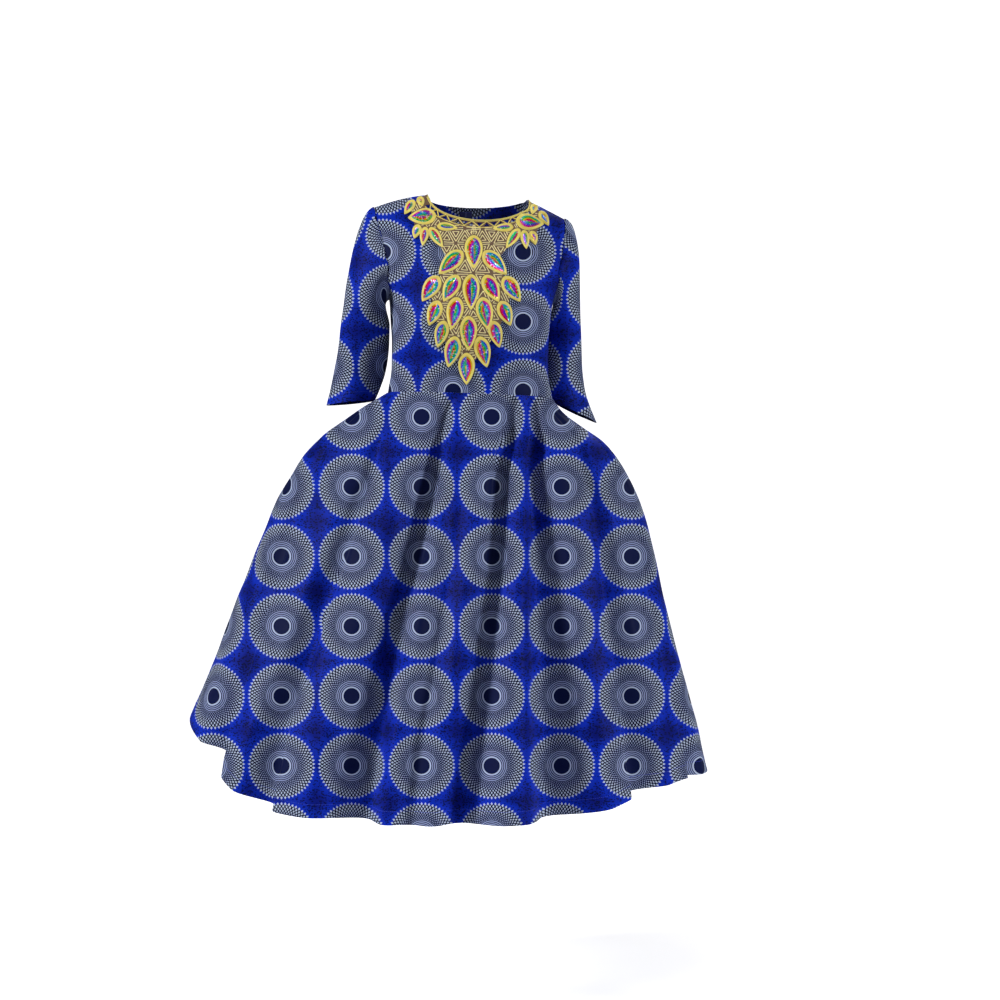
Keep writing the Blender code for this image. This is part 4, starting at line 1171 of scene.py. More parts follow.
        rows = [ring(i / self.FINE_ROWS) for i in range(last * self.FINE_ROWS + 1)]
        biceps, below = rows[0], ring(1.0)
        steps = self.CAP_ROWS * self.FINE_ROWS
        cap = []
        for step in range(1, steps + 1):
            t = (1 - step / steps) ** self.CAP_SPACING
            line = []
            for k in range(count):
                high = 0.5 + 0.5 * math.cos(2 * math.pi * k / count)
                leave = Vector((way, 0, self.CAP_SLOPE)).normalized() * lerp(*self.CAP_LEAVE, high)
                arm = (biceps[k] - below[k]).normalized() * lerp(*self.CAP_ARRIVE, high)
                a, b, c, d = start[k], start[k] + leave, biceps[k] + arm, biceps[k]
                line.append(a * (1 - t) ** 3 + b * 3 * t * (1 - t) ** 2 + c * 3 * t * t * (1 - t) + d * t**3)
            cap.append(line)
        grid = [[self.clear_of_body(p, way) for p in line] for line in rows[::-1] + cap[:-1]] + [cap[-1]]
        if way > 0:
            grid = [[line[0]] + line[:0:-1] for line in grid]
        panel = ClothPanel(f"sleeve_{side.word}_cloth", grid, {}, self.SLEEVE_PRINTS[side], count // 2)
        return panel.moved_out(self.WALL)

    def column_guides(self, folds: Sequence[Fold], low: float, high: float, drop: float) -> list[float]:
        """Returns column angles that follow the folds.

        Args:
            folds: the panel's folds.
            low: the panel's first angle.
            high: the panel's last angle.
            drop: metres below the waist seam.

        Returns:
            Angles in degrees.
        """
        row = self.form.skirt_section(drop)[0]
        states = [self.form.fold_state(fold, drop) for fold in folds]
        angles = [state[0] for state in states]
        middles = [low - (angles[0] - low)] + angles + [high + (high - angles[-1])]
        marks = [low]
        for k, (at, _, width) in enumerate(states):
            reach = math.hypot(
                math.sin(math.radians(at)) * (row[1] - row[0]) / 2,
                math.cos(math.radians(at)) * (row[2] + row[3]) / 2,
            )
            half = math.degrees(width / reach) * self.FOLD_SHARE
            before = min(half, self.FOLD_ROOM * (at - middles[k]))
            after = min(half, self.FOLD_ROOM * (middles[k + 2] - at))
            marks += [at - before, at - before / 2, at, at + after / 2, at + after]
        return marks + [high]

    def spread_columns(self, guides: list[list[float]]) -> list[list[float]]:
        """Keeps the guides in order and adds columns between them.

        Args:
            guides: a row of angles for each row of the panel, the hem's last.

        Returns:
            The finer rows.
        """
        hem = guides[-1]
        plan = [2 if b - a > self.WIDE_CELL else 1 for a, b in zip(hem, hem[1:])]
        rows = []
        for marks in guides:
            fixed = marks[:]
            for k in range(1, len(fixed)):
                fixed[k] = max(fixed[k], fixed[k - 1] + self.GUIDE_STEP)
            for k in range(len(fixed) - 2, -1, -1):
                fixed[k] = min(fixed[k], fixed[k + 1] - self.GUIDE_STEP)
            fixed[0], fixed[-1] = marks[0], marks[-1]
            row = []
            for k, cells in enumerate(plan):
                fine = cells * self.SKIRT_FINE_COLUMNS
                row += [lerp(fixed[k], fixed[k + 1], j / fine) for j in range(fine)]
            rows.append(row + [fixed[-1]])
        return rows

    def slit_angle(self, share: float, depth: float) -> float:
        """Returns how far a pocket slit's lip lies from the side seam.

        Args:
            share: the place down the skirt.
            depth: the section's depth.

        Returns:
            Degrees.
        """
        s = self.sizes
        if not 0 < share < s.slit_share:
            return 0.0
        opened = math.sin(math.pi * share / s.slit_share) ** s.slit_roundness
        return math.degrees(s.slit_gap * opened / depth)

    def skirt_shares(self) -> list[float]:
        """Returns the rows' shares of the skirt's length, waist first."""
        return finer(self.SKIRT_ROWS, self.SKIRT_FINE_ROWS)

    def skirt(
        self, name: str, folds: Sequence[Fold], low: float, high: float, side: int, place: PrintPlace
    ) -> ClothPanel:
        """Lays out a skirt panel between two angles.

        Args:
            name: the piece's name.
            folds: its folds.
            low: its first angle.
            high: its last angle.
            side: -1 or 1 for a back half, 0 for the front.
            place: where the print lies.

        Returns:
            The panel, its rows going up from the hem.
        """
        form, s, rear = self.form, self.sizes, side != 0
        shares = self.skirt_shares()
        length = form.skirt_length((low + high) / 2)
        guides = [self.column_guides(folds, low, high, share * length) for share in shares]
        low_slit, high_slit = side >= 0, side <= 0
        grid = []
        for share, row_angles in zip(shares, self.spread_columns(guides)):
            line = []
            for angle in row_angles:
                drop = form.skirt_length(angle) * share
                row = form.skirt_section(drop)[0]
                shift = self.slit_angle(share, row[3] if rear else row[2])
                t = (angle - low) / (high - low)
                moved = angle
                if low_slit:
                    moved += shift * max(0.0, 1 - t * self.SLIT_PART)
                if high_slit:
                    moved -= shift * max(0.0, 1 - (1 - t) * self.SLIT_PART)
                line.append(form.skirt_point(folds, moved, drop, rear, side))
            grid.append(line)
        for point in grid[0]:
            point.z -= s.seam / 2
        grid = grid[::-1]

        def side_seam(r: int, c: int) -> Vector:
            """Returns the side seam's direction."""
            return form.skirt_axis(s.waist_z - grid[r][c].z, True)

        def centre_seam(r: int, c: int) -> Vector:
            """Returns the centre-back seam's direction."""
            return form.skirt_axis(s.waist_z - grid[r][c].z, False)

        seams: dict[str, Seam] = {
            "top": lambda r, c: UP,
            "left": side_seam if low_slit else centre_seam,
            "right": side_seam if high_slit else centre_seam,
        }
        return ClothPanel(name, grid, seams, place)


class Pocket:
    """A pocket bag that hangs inside the skirt from its slit, open at the mouth."""

    LIP_SHARES = (0.010, 0.020, 0.032, 0.046, 0.060, 0.078, 0.095, 0.112, 0.124)
    # Share of the depth, share of the mouth's width, shift towards the bag's middle
    ROWS: tuple[Row, ...] = (
        (0.00, 1.00, 0.00),
        (0.07, 0.86, 0.02),
        (0.30, 0.84, 0.06),
        (0.60, 0.72, 0.12),
        (0.88, 0.52, 0.18),
        (1.00, 0.24, 0.24),
    )
    FINE = 3
    BOTTOM_Z = -0.615
    BOTTOM_ROUND = 0.030
    MIDDLE_X = 0.270
    INSET = 0.0011
    DEPTH = 0.0008
    THICKNESS = 0.0009

    def __init__(self, side: Side, front: ClothPanel, back: ClothPanel, shares: Sequence[float]) -> None:
        """Finds the mouth between the two skirt panels.

        Args:
            side: which pocket.
            front: the front skirt panel.
            back: the back skirt half.
            shares: the skirt rows' shares of its length.
        """
        self.side = side
        column, back_column = (0, -1) if side is Side.LEFT else (-1, 0)
        self.fore: list[Vector] = []
        self.rear: list[Vector] = []
        for share in finer(self.LIP_SHARES, self.FINE):
            fore = self.edge_point(front.grid, column, share, shares)
            rear = self.edge_point(back.grid, back_column, share, shares)
            middle = (fore + rear) / 2
            inset = (middle - fore).normalized() * min(self.INSET, (middle - fore).length * 0.5)
            self.fore.append(fore + inset - UP * self.DEPTH)
            self.rear.append(rear - inset - UP * self.DEPTH)

    @staticmethod
    def edge_point(grid: Grid, column: int, share: float, shares: Sequence[float]) -> Vector:
        """Finds a point down one edge of a skirt panel.

        Args:
            grid: the panel's points, going up.
            column: its edge column.
            share: the share of the skirt's length.
            shares: the rows' shares, going down.

        Returns:
            The point.
        """
        line = [row[column] for row in grid][::-1]
        i = max(k for k in range(len(shares) - 1) if shares[k] <= share)
        return line[i].lerp(line[i + 1], (share - shares[i]) / (shares[i + 1] - shares[i]))

    def build(self, finish: Finish) -> Piece:
        """Makes the bag.

        Args:
            finish: the cloth.

        Returns:
            The object.
        """
        way, count = self.side.value, len(self.fore)
        ring = self.fore + self.rear[::-1]
        rows: Grid = []
        for share in finer([row[0] for row in self.ROWS], self.FINE):
            width, shift = smooth_row(self.ROWS, share)
            line = []
            for k, p in enumerate(ring):
                middle = (p.y + ring[2 * count - 1 - k].y) / 2
                place = (k if k < count else 2 * count - 1 - k) / (count - 1)
                bottom = self.BOTTOM_Z + self.BOTTOM_ROUND * (2 * place - 1) ** 2
                x = lerp(p.x, way * self.MIDDLE_X, shift)
                line.append(Vector((x, middle + (p.y - middle) * width, lerp(p.z, bottom, share))))
            rows.append(line)
        rows = rows[::-1]
        if way < 0:
            rows = [line[::-1] for line in rows]
        name = f"pocket_{self.side.word}_cloth"
        panel = ClothPanel(name, rows, {"top": lambda r, c: UP}, PrintPlace(0.0, 0.0, False), 0)
        draft = MeshDraft()
        pitch = PrintMap.PITCH_X

        def numbered(grid: Grid) -> list[list[int]]:
            """Adds a grid's points to the draft and returns their numbers."""
            return [[draft.point(p, (p.y / pitch, p.z / pitch)) for p in line] for line in grid]

        outer = numbered(panel.grid)
        inner = numbered(panel.inner_points(self.THICKNESS))
        columns = len(ring)
        for r in range(len(rows) - 1):
            for c in range(columns):
                d = (c + 1) % columns
                draft.face((outer[r][c], outer[r][d], outer[r + 1][d], outer[r + 1][c]))
                draft.face((inner[r][d], inner[r][c], inner[r + 1][c], inner[r + 1][d]))
        for c in range(columns):
            d = (c + 1) % columns
            draft.face((outer[-1][c], outer[-1][d], inner[-1][d], inner[-1][c]))
        for c in range(columns // 2 - 1):
            far = columns - 1 - c
            draft.face((outer[0][c + 1], outer[0][c], outer[0][far], outer[0][far - 1]))
            draft.face((inner[0][c], inner[0][c + 1], inner[0][far - 1], inner[0][far]))
        return draft.build(name, [finish])


@dataclass(frozen=True)
class Leaf:
    """A leaf of the applique in the x-z plane: sizes in metres, its outward lean in degrees."""

    x: float
    z: float
    length: float
    width: float
    lean: float
    # Where the belly lies, how full it is, and how much faster than the inset the length shrinks
    BELLY = 0.72
    FULLNESS = 0.78
    TIP_INSET = 2.8

    @classmethod
    def fullness(cls, down: float) -> float:
        """Returns the leaf's width at a share of its length, as a share of its greatest width."""
        return abs(math.sin(math.pi * down**cls.BELLY)) ** cls.FULLNESS

    def outline(self, inset: float, count: int) -> list[Spot]:
        """Returns the leaf's outline.

        Args:
            inset: how far in from its edge.
            count: how many points, an even number.

        Returns:
            x and z of each point, from the tip round.
        """
        length, width = self.length - self.TIP_INSET * inset, self.width - 2 * inset
        half = []
        for k in range(count // 2 + 1):
            s = 0.5 - 0.5 * math.cos(2 * math.pi * k / count)
            half.append((width / 2 * self.fullness(s), length * (0.5 - s)))
        whole = half + [(-a, b) for a, b in half[-2:0:-1]]
        c, s = math.cos(math.radians(self.lean)), math.sin(math.radians(self.lean))
        return [(self.x + a * c - b * s, self.z + a * s + b * c) for a, b in whole]

    def holds(self, x: float, z: float, margin: float) -> bool:
        """Tells whether a spot lies in the leaf.

        Args:
            x: the spot's x.
            z: the spot's z.
            margin: how far outside still counts.

        Returns:
            Whether it does.
        """
        c, s = math.cos(math.radians(self.lean)), math.sin(math.radians(self.lean))
        a = (x - self.x) * c + (z - self.z) * s
        b = -(x - self.x) * s + (z - self.z) * c
        down = 0.5 - b / (self.length + 2 * margin)
        if not 0 < down < 1:
            return False
        return abs(a) < (self.width / 2 + margin) * self.fullness(down)


class NeckApplique:
    """The gold lace yoke: net, zigzag row, cord-edged leaves and their sequins, laid on the front bodice."""

    MIDDLE_X = -0.0115
    MIDDLE_Z = -0.1187
    MIDDLE_LEAN = 0.0588
    # Distance from the leaning middle line, z, length, width, outward lean in degrees
    PENDANT: tuple[Row, ...] = (
        (0.0000, -0.1197, 0.067, 0.0345, 0.0),
        (0.0420, -0.1410, 0.063, 0.0330, 44.0),
        (0.0385, -0.1905, 0.057, 0.0305, 28.0),
        (0.0767, -0.1906, 0.056, 0.0315, 33.0),
        (0.0000, -0.1975, 0.068, 0.0320, 0.0),
        (0.0288, -0.2375, 0.062, 0.0320, 11.0),
        (0.0672, -0.2368, 0.050, 0.0280, 22.0),
        (0.0000, -0.2748, 0.065, 0.0325, 0.0),
        (0.0516, -0.2761, 0.052, 0.0262, 15.0),
        (0.0292, -0.3094, 0.060, 0.0305, 14.0),
        (0.0000, -0.3413, 0.061, 0.0315, 0.0),
    )
    # Distance from the middle line, z below the shoulder line, length, width, outward lean in degrees
    SHOULDER: tuple[Row, ...] = (
        (0.1028, -0.0490, 0.054, 0.0340, 86.0),
        (0.0530, -0.0705, 0.040, 0.0170, -84.0),
        (0.0725, -0.0915, 0.047, 0.0193, -32.0),
        (0.0957, -0.0890, 0.038, 0.0170, 7.0),
        (0.1110, -0.0775, 0.029, 0.0175, 16.0),
        (0.1290, -0.0250, 0.034, 0.0180, 30.0),
        (0.1080, -0.0170, 0.022, 0.0150, -20.0),
    )
    # The ground's edge from the shoulder to the foot: distance from the middle line, z under the shoulder
    EDGE: tuple[Row, ...] = (
        (0.1120, -0.0110),
        (0.1290, -0.0250),
        (0.1200, -0.0500),
        (0.1110, -0.0775),
        (0.0957, -0.0890),
        (0.0725, -0.0915),
        (0.0600, -0.1140),
        (0.0420, -0.1410),
        (0.0767, -0.1906),
        (0.0672, -0.2368),
        (0.0516, -0.2761),
        (0.0292, -0.3094),
        (0.0000, -0.3413),
    )
    # The cloth's direction is the mean of a square of casts this far apart
    AROUND = 0.007
    # A cast that misses the cloth is tried again this far below
    RETRY = 0.001
    NET_GAP = 0.0008
    STEEP_GAP = 0.0016
    NET = 0.0009
    BED = 0.0017
    OUTLINE_POINTS = 24
    NECK_STEPS = 44
    EDGE_OFFSET = 0.0010
    LEAF_HOLE = 0.0040
    # Points that fill the ground: their step, how many to each side and down, and where they start
    FILL_STEP = 0.0062
    FILL_COLUMNS = 22
    FILL_ROWS = 56
    FILL_TOP = -0.03
    # The neck's row of open triangles: how many, its start, the half step along it and its offset
    TRIANGLES = 20
    ROW_START = 0.10
    ROW_STEP = 0.006
    ROW_OFFSET = 0.0105
    # Each open triangle: half its height and half its base; and the zigzag cord's swing
    TRIANGLE_RISE = 0.0039
    TRIANGLE_BASE = 0.0060
    ZIGZAG_SWING = 0.0054
    # Cords round each leaf: inset from its edge, radius, height of the cord's middle over the cloth
    LEAF_CORDS: tuple[Row, ...] = (
        (0.0007, 0.00080, 0.0021),
        (0.0025, 0.00120, 0.0028),
        (0.0044, 0.00080, 0.0027),
    )
    # Cords along the neck: offset from its edge, radius, share of the neckline at which each starts
    NECK_CORDS: tuple[Row, ...] = ((0.0022, 0.0009, 0.012), (0.0046, 0.0007, 0.03), (0.0170, 0.0007, 0.12))
    NECK_CORD_STEPS = 70
    NECK_CORD_HEIGHT = 0.0020
    ZIGZAG_RADIUS = 0.00075
    ZIGZAG_RUN = 0.004
    # Fretwork: the cells' pitch, the nested triangles' sizes as shares of it, their cord and longest run
    CELL = 0.0340
    FRETS = (0.46, 0.21)
    FRET_RADIUS = 0.00085
    FRET_HEIGHT = 0.0019
    FRET_RUN = 0.0022
    FRET_TURN = 6
    FRET_ROWS = range(1, 14)
    FRET_COLUMNS = range(-9, 10)
    NECK_CLEARANCE = 0.0180
    LEAF_CLEARANCE = 0.0006
    # Spray of beads over the pendant: rows, step up, spread to the sides, radius and height over the cloth
    SPRAY_ROWS = 6
    SPRAY_STEP = 0.0030
    SPRAY_START = 0.003
    SPRAY_LIFT = 0.0012
    SPRAY_SPREAD = 0.0036
    SPRAY_TAPER = 1.3
    BEAD = 0.0013
    BEAD_RINGS = 5
    BEAD_SIDES = 8
    BEAD_HEIGHT = 0.0024
    SEED = 7
    RING_START = 0.0061
    RING_STEP = 0.0021
    # Rings of sequins: the width below which they end, the least width, their points and longest run
    LAST_RING = -0.0006
    LEAST_RING = 0.0008
    RING_POINTS = 40
    RING_RUN = 0.0006
    SEQUIN = 0.00165
    SEQUIN_STEP = 0.0021
    SEQUIN_HEIGHT = 0.0009
    SEQUIN_CUP = 0.0003
    SEQUIN_TURN = 0.3
    # A sequin's lean over the next one along its ring, how far that varies, and its roll to either side
    LEAN = 0.30
    LEAN_RANGE = (-0.10, 0.14)
    ROLL = 0.16
    # How far the hue moves from one ring of a leaf to the next, from side to side, and from disc to disc
    HUE_RING = 1.1
    HUE_SIDES = (2.5, 4.5)
    HUE_SPREAD = 0.45
    # Share of sequins coloured white or pale blue as painted glints
    GLINTS = 0.07

    def __init__(self, form: DressForm, front: ClothPanel) -> None:
        """Readies the surface that the applique lies on.

        Args:
            form: the dress's surface.
            front: the front bodice's finished panel.
        """
        self.form = form
        columns = len(front.grid[0])
        points = [p for line in front.grid for p in line]
        squares = []
        for r in range(len(front.grid) - 1):
            for c in range(columns - 1):
                k = r * columns + c
                squares.append((k, k + 1, k + columns + 1, k + columns))
        self.tree = BVHTree.FromPolygons(points, squares)
        self.random = random.Random(self.SEED)
        self.leaves = self.place_leaves()
        self.ground = self.ground_outline()

    def sided(self, distance: float, z: float, way: int, from_shoulder: bool) -> Spot:
        """Finds a spot beside the leaning middle line."""
        x = self.MIDDLE_X + self.MIDDLE_LEAN * (z - self.MIDDLE_Z) + way * distance
        return x, z - (self.form.shoulder_drop(x) if from_shoulder else 0.0)

    def place_leaves(self) -> list[Leaf]:
        """Returns every leaf, left and right."""
        leaves = []
        for table, from_shoulder in ((self.PENDANT, False), (self.SHOULDER, True)):
            for distance, z, length, width, lean in table:
                for way in (-1, 1) if distance else (1,):
                    x, height = self.sided(distance, z, way, from_shoulder)
                    leaves.append(Leaf(x, height, length, width, way * lean))
        return leaves

    def neck_spot(self, share: float, offset: float) -> Spot:
        """Finds a spot off the neckline.

        Args:
            share: 0 at the left neck point and 1 at the right.
            offset: how far out from the neckline.

        Returns:
            x and z.
        """
        s = self.form.sizes
        x, z = self.form.bodice_point(*self.form.neck_curve(share, s.neck_front)).xz
        away = Vector((x - (s.neck_left_x + s.neck_right_x) / 2, min(z, 0.0))).normalized()
        return x + away.x * offset, z + away.y * offset

    def ground_outline(self) -> list[Spot]:
        """Returns the lace ground's edge."""
        outline = [self.neck_spot(k / self.NECK_STEPS, self.EDGE_OFFSET) for k in range(self.NECK_STEPS + 1)]
        outline += [self.sided(d, z, 1, z > self.MIDDLE_Z) for d, z in self.EDGE]
        outline += [self.sided(d, z, -1, z > self.MIDDLE_Z) for d, z in self.EDGE[-2::-1]]
        return outline

    def in_ground(self, x: float, z: float) -> bool:
        """Tells whether a spot lies on the lace ground.

        Args:
            x: the spot's x.
            z: the spot's z.

        Returns:
            Whether it does.
        """
        inside = False
        for (ax, az), (bx, bz) in zip(self.ground, self.ground[1:] + self.ground[:1]):
            if (az > z) != (bz > z) and x < ax + (z - az) / (bz - az) * (bx - ax):
                inside = not inside
        return inside

    def cast(self, x: float, z: float) -> tuple[Vector, Vector]:
        """Finds the cloth seen from the front.

        Args:
            x: where across.
            z: where up.

        Returns:
            The point, or one just below, and its normal.
        """
        spot = None
        while spot is None:
            spot, normal, _, _ = self.tree.ray_cast(Vector((x, -1, z)), Vector((0, 1, 0)))
            z -= self.RETRY
        return spot, normal if normal.y < 0 else -normal

    def on_cloth(self, x: float, z: float, height: float) -> tuple[Vector, Vector]:
        """Finds a place over the cloth.

        Args:
            x: where across.
            z: where up.
            height: how far over the cloth.

        Returns:
            The place and the direction out of the cloth.
        """
        steps = (-1, 0, 1)
        around = [self.cast(x + i * self.AROUND, z + k * self.AROUND)[1] for i in steps for k in steps]
        out = sum(around, Vector()).normalized()
        return self.cast(x, z)[0] + out * (height + self.STEEP_GAP * max(out.z, 0.0)), out

    @staticmethod
    def turned_left(spots: list[Spot]) -> list[Spot]:
        """Orders a flat loop so that it goes round to the left."""
        area = sum(a[0] * b[1] - b[0] * a[1] for a, b in zip(spots, spots[1:] + spots[:1]))
        return spots if area > 0 else spots[::-1]

    def zigzag_spots(self) -> list[tuple[Spot, Vector, int]]:
        """Returns each open triangle's middle, the direction along the row, and which way it points."""
        spots = []
        for k in range(self.TRIANGLES):
            share = lerp(self.ROW_START, 1 - self.ROW_START, (k + 0.5) / self.TRIANGLES)
            after = self.neck_spot(share + self.ROW_STEP, self.ROW_OFFSET)
            before = self.neck_spot(share - self.ROW_STEP, self.ROW_OFFSET)
            along = Vector((after[0] - before[0], after[1] - before[1])).normalized()
            spots.append((self.neck_spot(share, self.ROW_OFFSET), along, 1 if k % 2 else -1))
        return spots

    def build_ground(self, net: Finish, bed: Finish) -> Piece:
        """Makes the net with its open triangles and the raised leaf beds.

        Args:
            net: the open net's finish.
            bed: the finish of the leaves' beds.

        Returns:
            The object.
        """
        points: list[Vector] = []
        heights: list[float] = []
        edges: list[tuple[int, int]] = []
        faces: list[list[int]] = []

        def add_loop(spots: list[Spot], height: float) -> None:
            """Adds a closed loop of edges at a height over the cloth."""
            first, count = len(points), len(spots)
            points.extend(Vector(spot) for spot in self.turned_left(spots))
            heights.extend([height] * count)
            edges.extend((first + k, first + (k + 1) % count) for k in range(count))
            faces.append(list(range(first, first + count)))

        add_loop(self.ground, self.NET)
        for leaf in self.leaves:
            add_loop(leaf.outline(0.0, self.OUTLINE_POINTS), self.NET)
        solid = len(faces)
        for (x, z), along, flip in self.zigzag_spots():
            away = Vector((along.y, -along.x)) * flip * self.TRIANGLE_RISE
            middle, base = Vector((x, z)), along * self.TRIANGLE_BASE
            corners = (middle + away, middle - away + base, middle - away - base)
            add_loop([tuple(corner) for corner in corners], self.NET)
        holes = len(faces)
        for leaf in self.leaves:
            add_loop(leaf.outline(self.LEAF_HOLE, self.OUTLINE_POINTS), self.BED)
        step = self.FILL_STEP
        for i in range(-self.FILL_COLUMNS, self.FILL_COLUMNS):
            for k in range(self.FILL_ROWS):
                points.append(Vector((i * step + step / 2 * (k % 2), self.FILL_TOP - k * step)))
                heights.append(0.0)
        flat, _, triangles, origins, _, owners = delaunay_2d_cdt(points, edges, faces, 0, 1e-5)
        draft = MeshDraft()
        high: dict[int, int] = {}
        low: dict[int, int] = {}
        borders: set[tuple[int, int]] = set()
        for triangle, owner in zip(triangles, owners):
            in_leaf = any(0 < f < solid for f in owner)
            if not any(f < solid for f in owner) or (not in_leaf and any(solid <= f < holes for f in owner)):
                continue
            for v in triangle:
                if v in high:
                    continue
                x, z = flat[v]
                top = max([heights[o] for o in origins[v]] + [self.NET])
                if any(leaf.holds(x, z, -self.LEAF_HOLE) for leaf in self.leaves):
                    top = self.BED
                uv = (x * 1000, z * 1000)
                high[v] = draft.point(self.on_cloth(x, z, self.NET_GAP + top)[0], uv)
                low[v] = draft.point(self.on_cloth(x, z, self.NET_GAP)[0], uv)
            a, b, c = triangle
            if (flat[b] - flat[a]).cross(flat[c] - flat[a]) < 0:
                a, b, c = a, c, b
            finish = int(in_leaf)
            draft.face((high[a], high[b], high[c]), finish)
            draft.face((low[c], low[b], low[a]), finish)
            borders |= {(a, b), (b, c), (c, a)}
        for a, b in borders:
            if (b, a) not in borders:
                draft.face((high[b], high[a], low[a], low[b]))
        return draft.build("applique_ground", [net, bed], sharp_deg=60.0)

    def lay_cord(
        self, draft: MeshDraft, spots: list[Spot], radius: float, height: float, closed: bool, sides: int = 6
    ) -> None:
        """Lays a cord along flat spots."""
        placed = [self.on_cloth(x, z, height) for x, z in spots]
        draft.tube([p for p, _ in placed], [out for _, out in placed], radius, sides, closed)

    @staticmethod
    def even(spots: list[Spot], step: float) -> list[Spot]:
        """Adds spots so that straight runs follow the cloth.

        Args:
            spots: the corners of an open line.
            step: the longest run.

        Returns:
            The finer line.
        """
        fine = []
        for (ax, az), (bx, bz) in zip(spots, spots[1:]):
            count = max(1, math.ceil(math.hypot(bx - ax, bz - az) / step))
            fine += [(lerp(ax, bx, k / count), lerp(az, bz, k / count)) for k in range(count)]
        return fine + [spots[-1]]

    def build_cords(self, gold: Finish) -> Piece:
        """Makes the cords round the leaves and along the neck.

        Args:
            gold: the cord's finish.

        Returns:
            The object.
        """
        draft = MeshDraft()
        for leaf in self.leaves:
            for inset, radius, height in self.LEAF_CORDS:
                spots = leaf.outline(inset, 2 * self.OUTLINE_POINTS)
                self.lay_cord(draft, spots, radius, height, True)
        count = self.NECK_CORD_STEPS
        for offset, radius, start in self.NECK_CORDS:
            spots = [self.neck_spot(lerp(start, 1 - start, k / count), offset) for k in range(count + 1)]
            self.lay_cord(draft, spots, radius, self.NECK_CORD_HEIGHT, False)
        corners = []
        for (x, z), along, flip in self.zigzag_spots():
            away = Vector((along.y, -along.x)) * flip * self.ZIGZAG_SWING
            corners.append((x + away.x, z + away.y))
        zigzag = self.even(corners, self.ZIGZAG_RUN)
        self.lay_cord(draft, zigzag, self.ZIGZAG_RADIUS, self.NECK_CORD_HEIGHT, False)
        return draft.build("applique_cords", [gold], sharp_deg=60.0)

    def build_fretwork(self, gold: Finish) -> Piece:
        """Makes the nested angular cords that fill the net between the leaves, and the small beaded spray.

        Args:
            gold: the cord's finish.

        Returns:
            The object.
        """
        draft = MeshDraft()
        rise = self.CELL * math.sqrt(3) / 2
        for row in self.FRET_ROWS:
            for column in self.FRET_COLUMNS:
                x = self.MIDDLE_X + column * self.CELL / 2
                up = (row + column) % 2 == 0
                z = -row * rise - (rise / 6 if up else -rise / 6)
                turn = (90 if up else -90) + self.random.uniform(-self.FRET_TURN, self.FRET_TURN)
                around = [math.radians(turn + 120 * k) for k in range(4)]
                for reach in (self.CELL * size for size in self.FRETS):
                    spots = [(x + reach * math.cos(a), z + reach * math.sin(a)) for a in around]
                    for run in self.open_runs(self.even(spots, self.FRET_RUN)):
                        self.lay_cord(draft, run, self.FRET_RADIUS, self.FRET_HEIGHT, False, sides=5)
        top = self.leaves[0].z + self.leaves[0].length / 2
        for k in range(self.SPRAY_ROWS):
            for way in (-1, 0, 1):
                spread = self.SPRAY_SPREAD * abs(way) * (self.SPRAY_TAPER - k / self.SPRAY_ROWS)
                height = top + self.SPRAY_START + k * self.SPRAY_STEP + self.SPRAY_LIFT * abs(way)
                place, out = self.on_cloth(self.MIDDLE_X + way * spread, height, self.BEAD_HEIGHT)
                self.add_bead(draft, place, out, self.BEAD)
        return draft.build("applique_fretwork", [gold], sharp_deg=60.0)

    def open_runs(self, spots: list[Spot]) -> list[list[Spot]]:
        """Cuts a line to the parts that lie on open net.

        Args:
            spots: x and z along the line.

        Returns:
            The parts, each of three spots or more.
        """
        runs: list[list[Spot]] = [[]]
        for spot in spots:
            if self.on_net(*spot):
                runs[-1].append(spot)
            elif runs[-1]:
                runs.append([])
        return [run for run in runs if len(run) > 2]

    def on_net(self, x: float, z: float) -> bool:
        """Tells whether a spot lies on open net, clear of the leaves and the neck's row.

        Args:
            x: the spot's x.
            z: the spot's z.

        Returns:
            Whether it does.
        """
        if any(leaf.holds(x, z, self.LEAF_CLEARANCE) for leaf in self.leaves) or not self.in_ground(x, z):
            return False
        steps = self.RING_POINTS
        neck = (self.neck_spot(k / steps, 0.0) for k in range(steps + 1))
        return min(math.dist((x, z), spot) for spot in neck) > self.NECK_CLEARANCE

    @classmethod
    def add_bead(cls, draft: MeshDraft, middle: Vector, out: Vector, radius: float) -> None:
        """Adds a round bead to a draft.

        Args:
            draft: the draft.
            middle: its middle.
            out: the direction out of the cloth.
            radius: its radius.
        """
        side = out.cross(UP).normalized()
        lift = side.cross(out)
        rings = []
        for k in range(1, cls.BEAD_RINGS):
            a = math.pi * k / cls.BEAD_RINGS
            ring = []
            for j in range(cls.BEAD_SIDES):
                b = 2 * math.pi * j / cls.BEAD_SIDES
                place = out * math.cos(a) + (side * math.cos(b) + lift * math.sin(b)) * math.sin(a)
                ring.append(draft.point(middle + place * radius))
            rings.append(ring)
        tip, foot = draft.point(middle + out * radius), draft.point(middle - out * radius)
        for j in range(cls.BEAD_SIDES):
            m = (j + 1) % cls.BEAD_SIDES
            draft.face((tip, rings[0][m], rings[0][j]))
            draft.face((foot, rings[-1][j], rings[-1][m]))
            for low, high in zip(rings, rings[1:]):
                draft.face((low[j], low[m], high[m], high[j]))

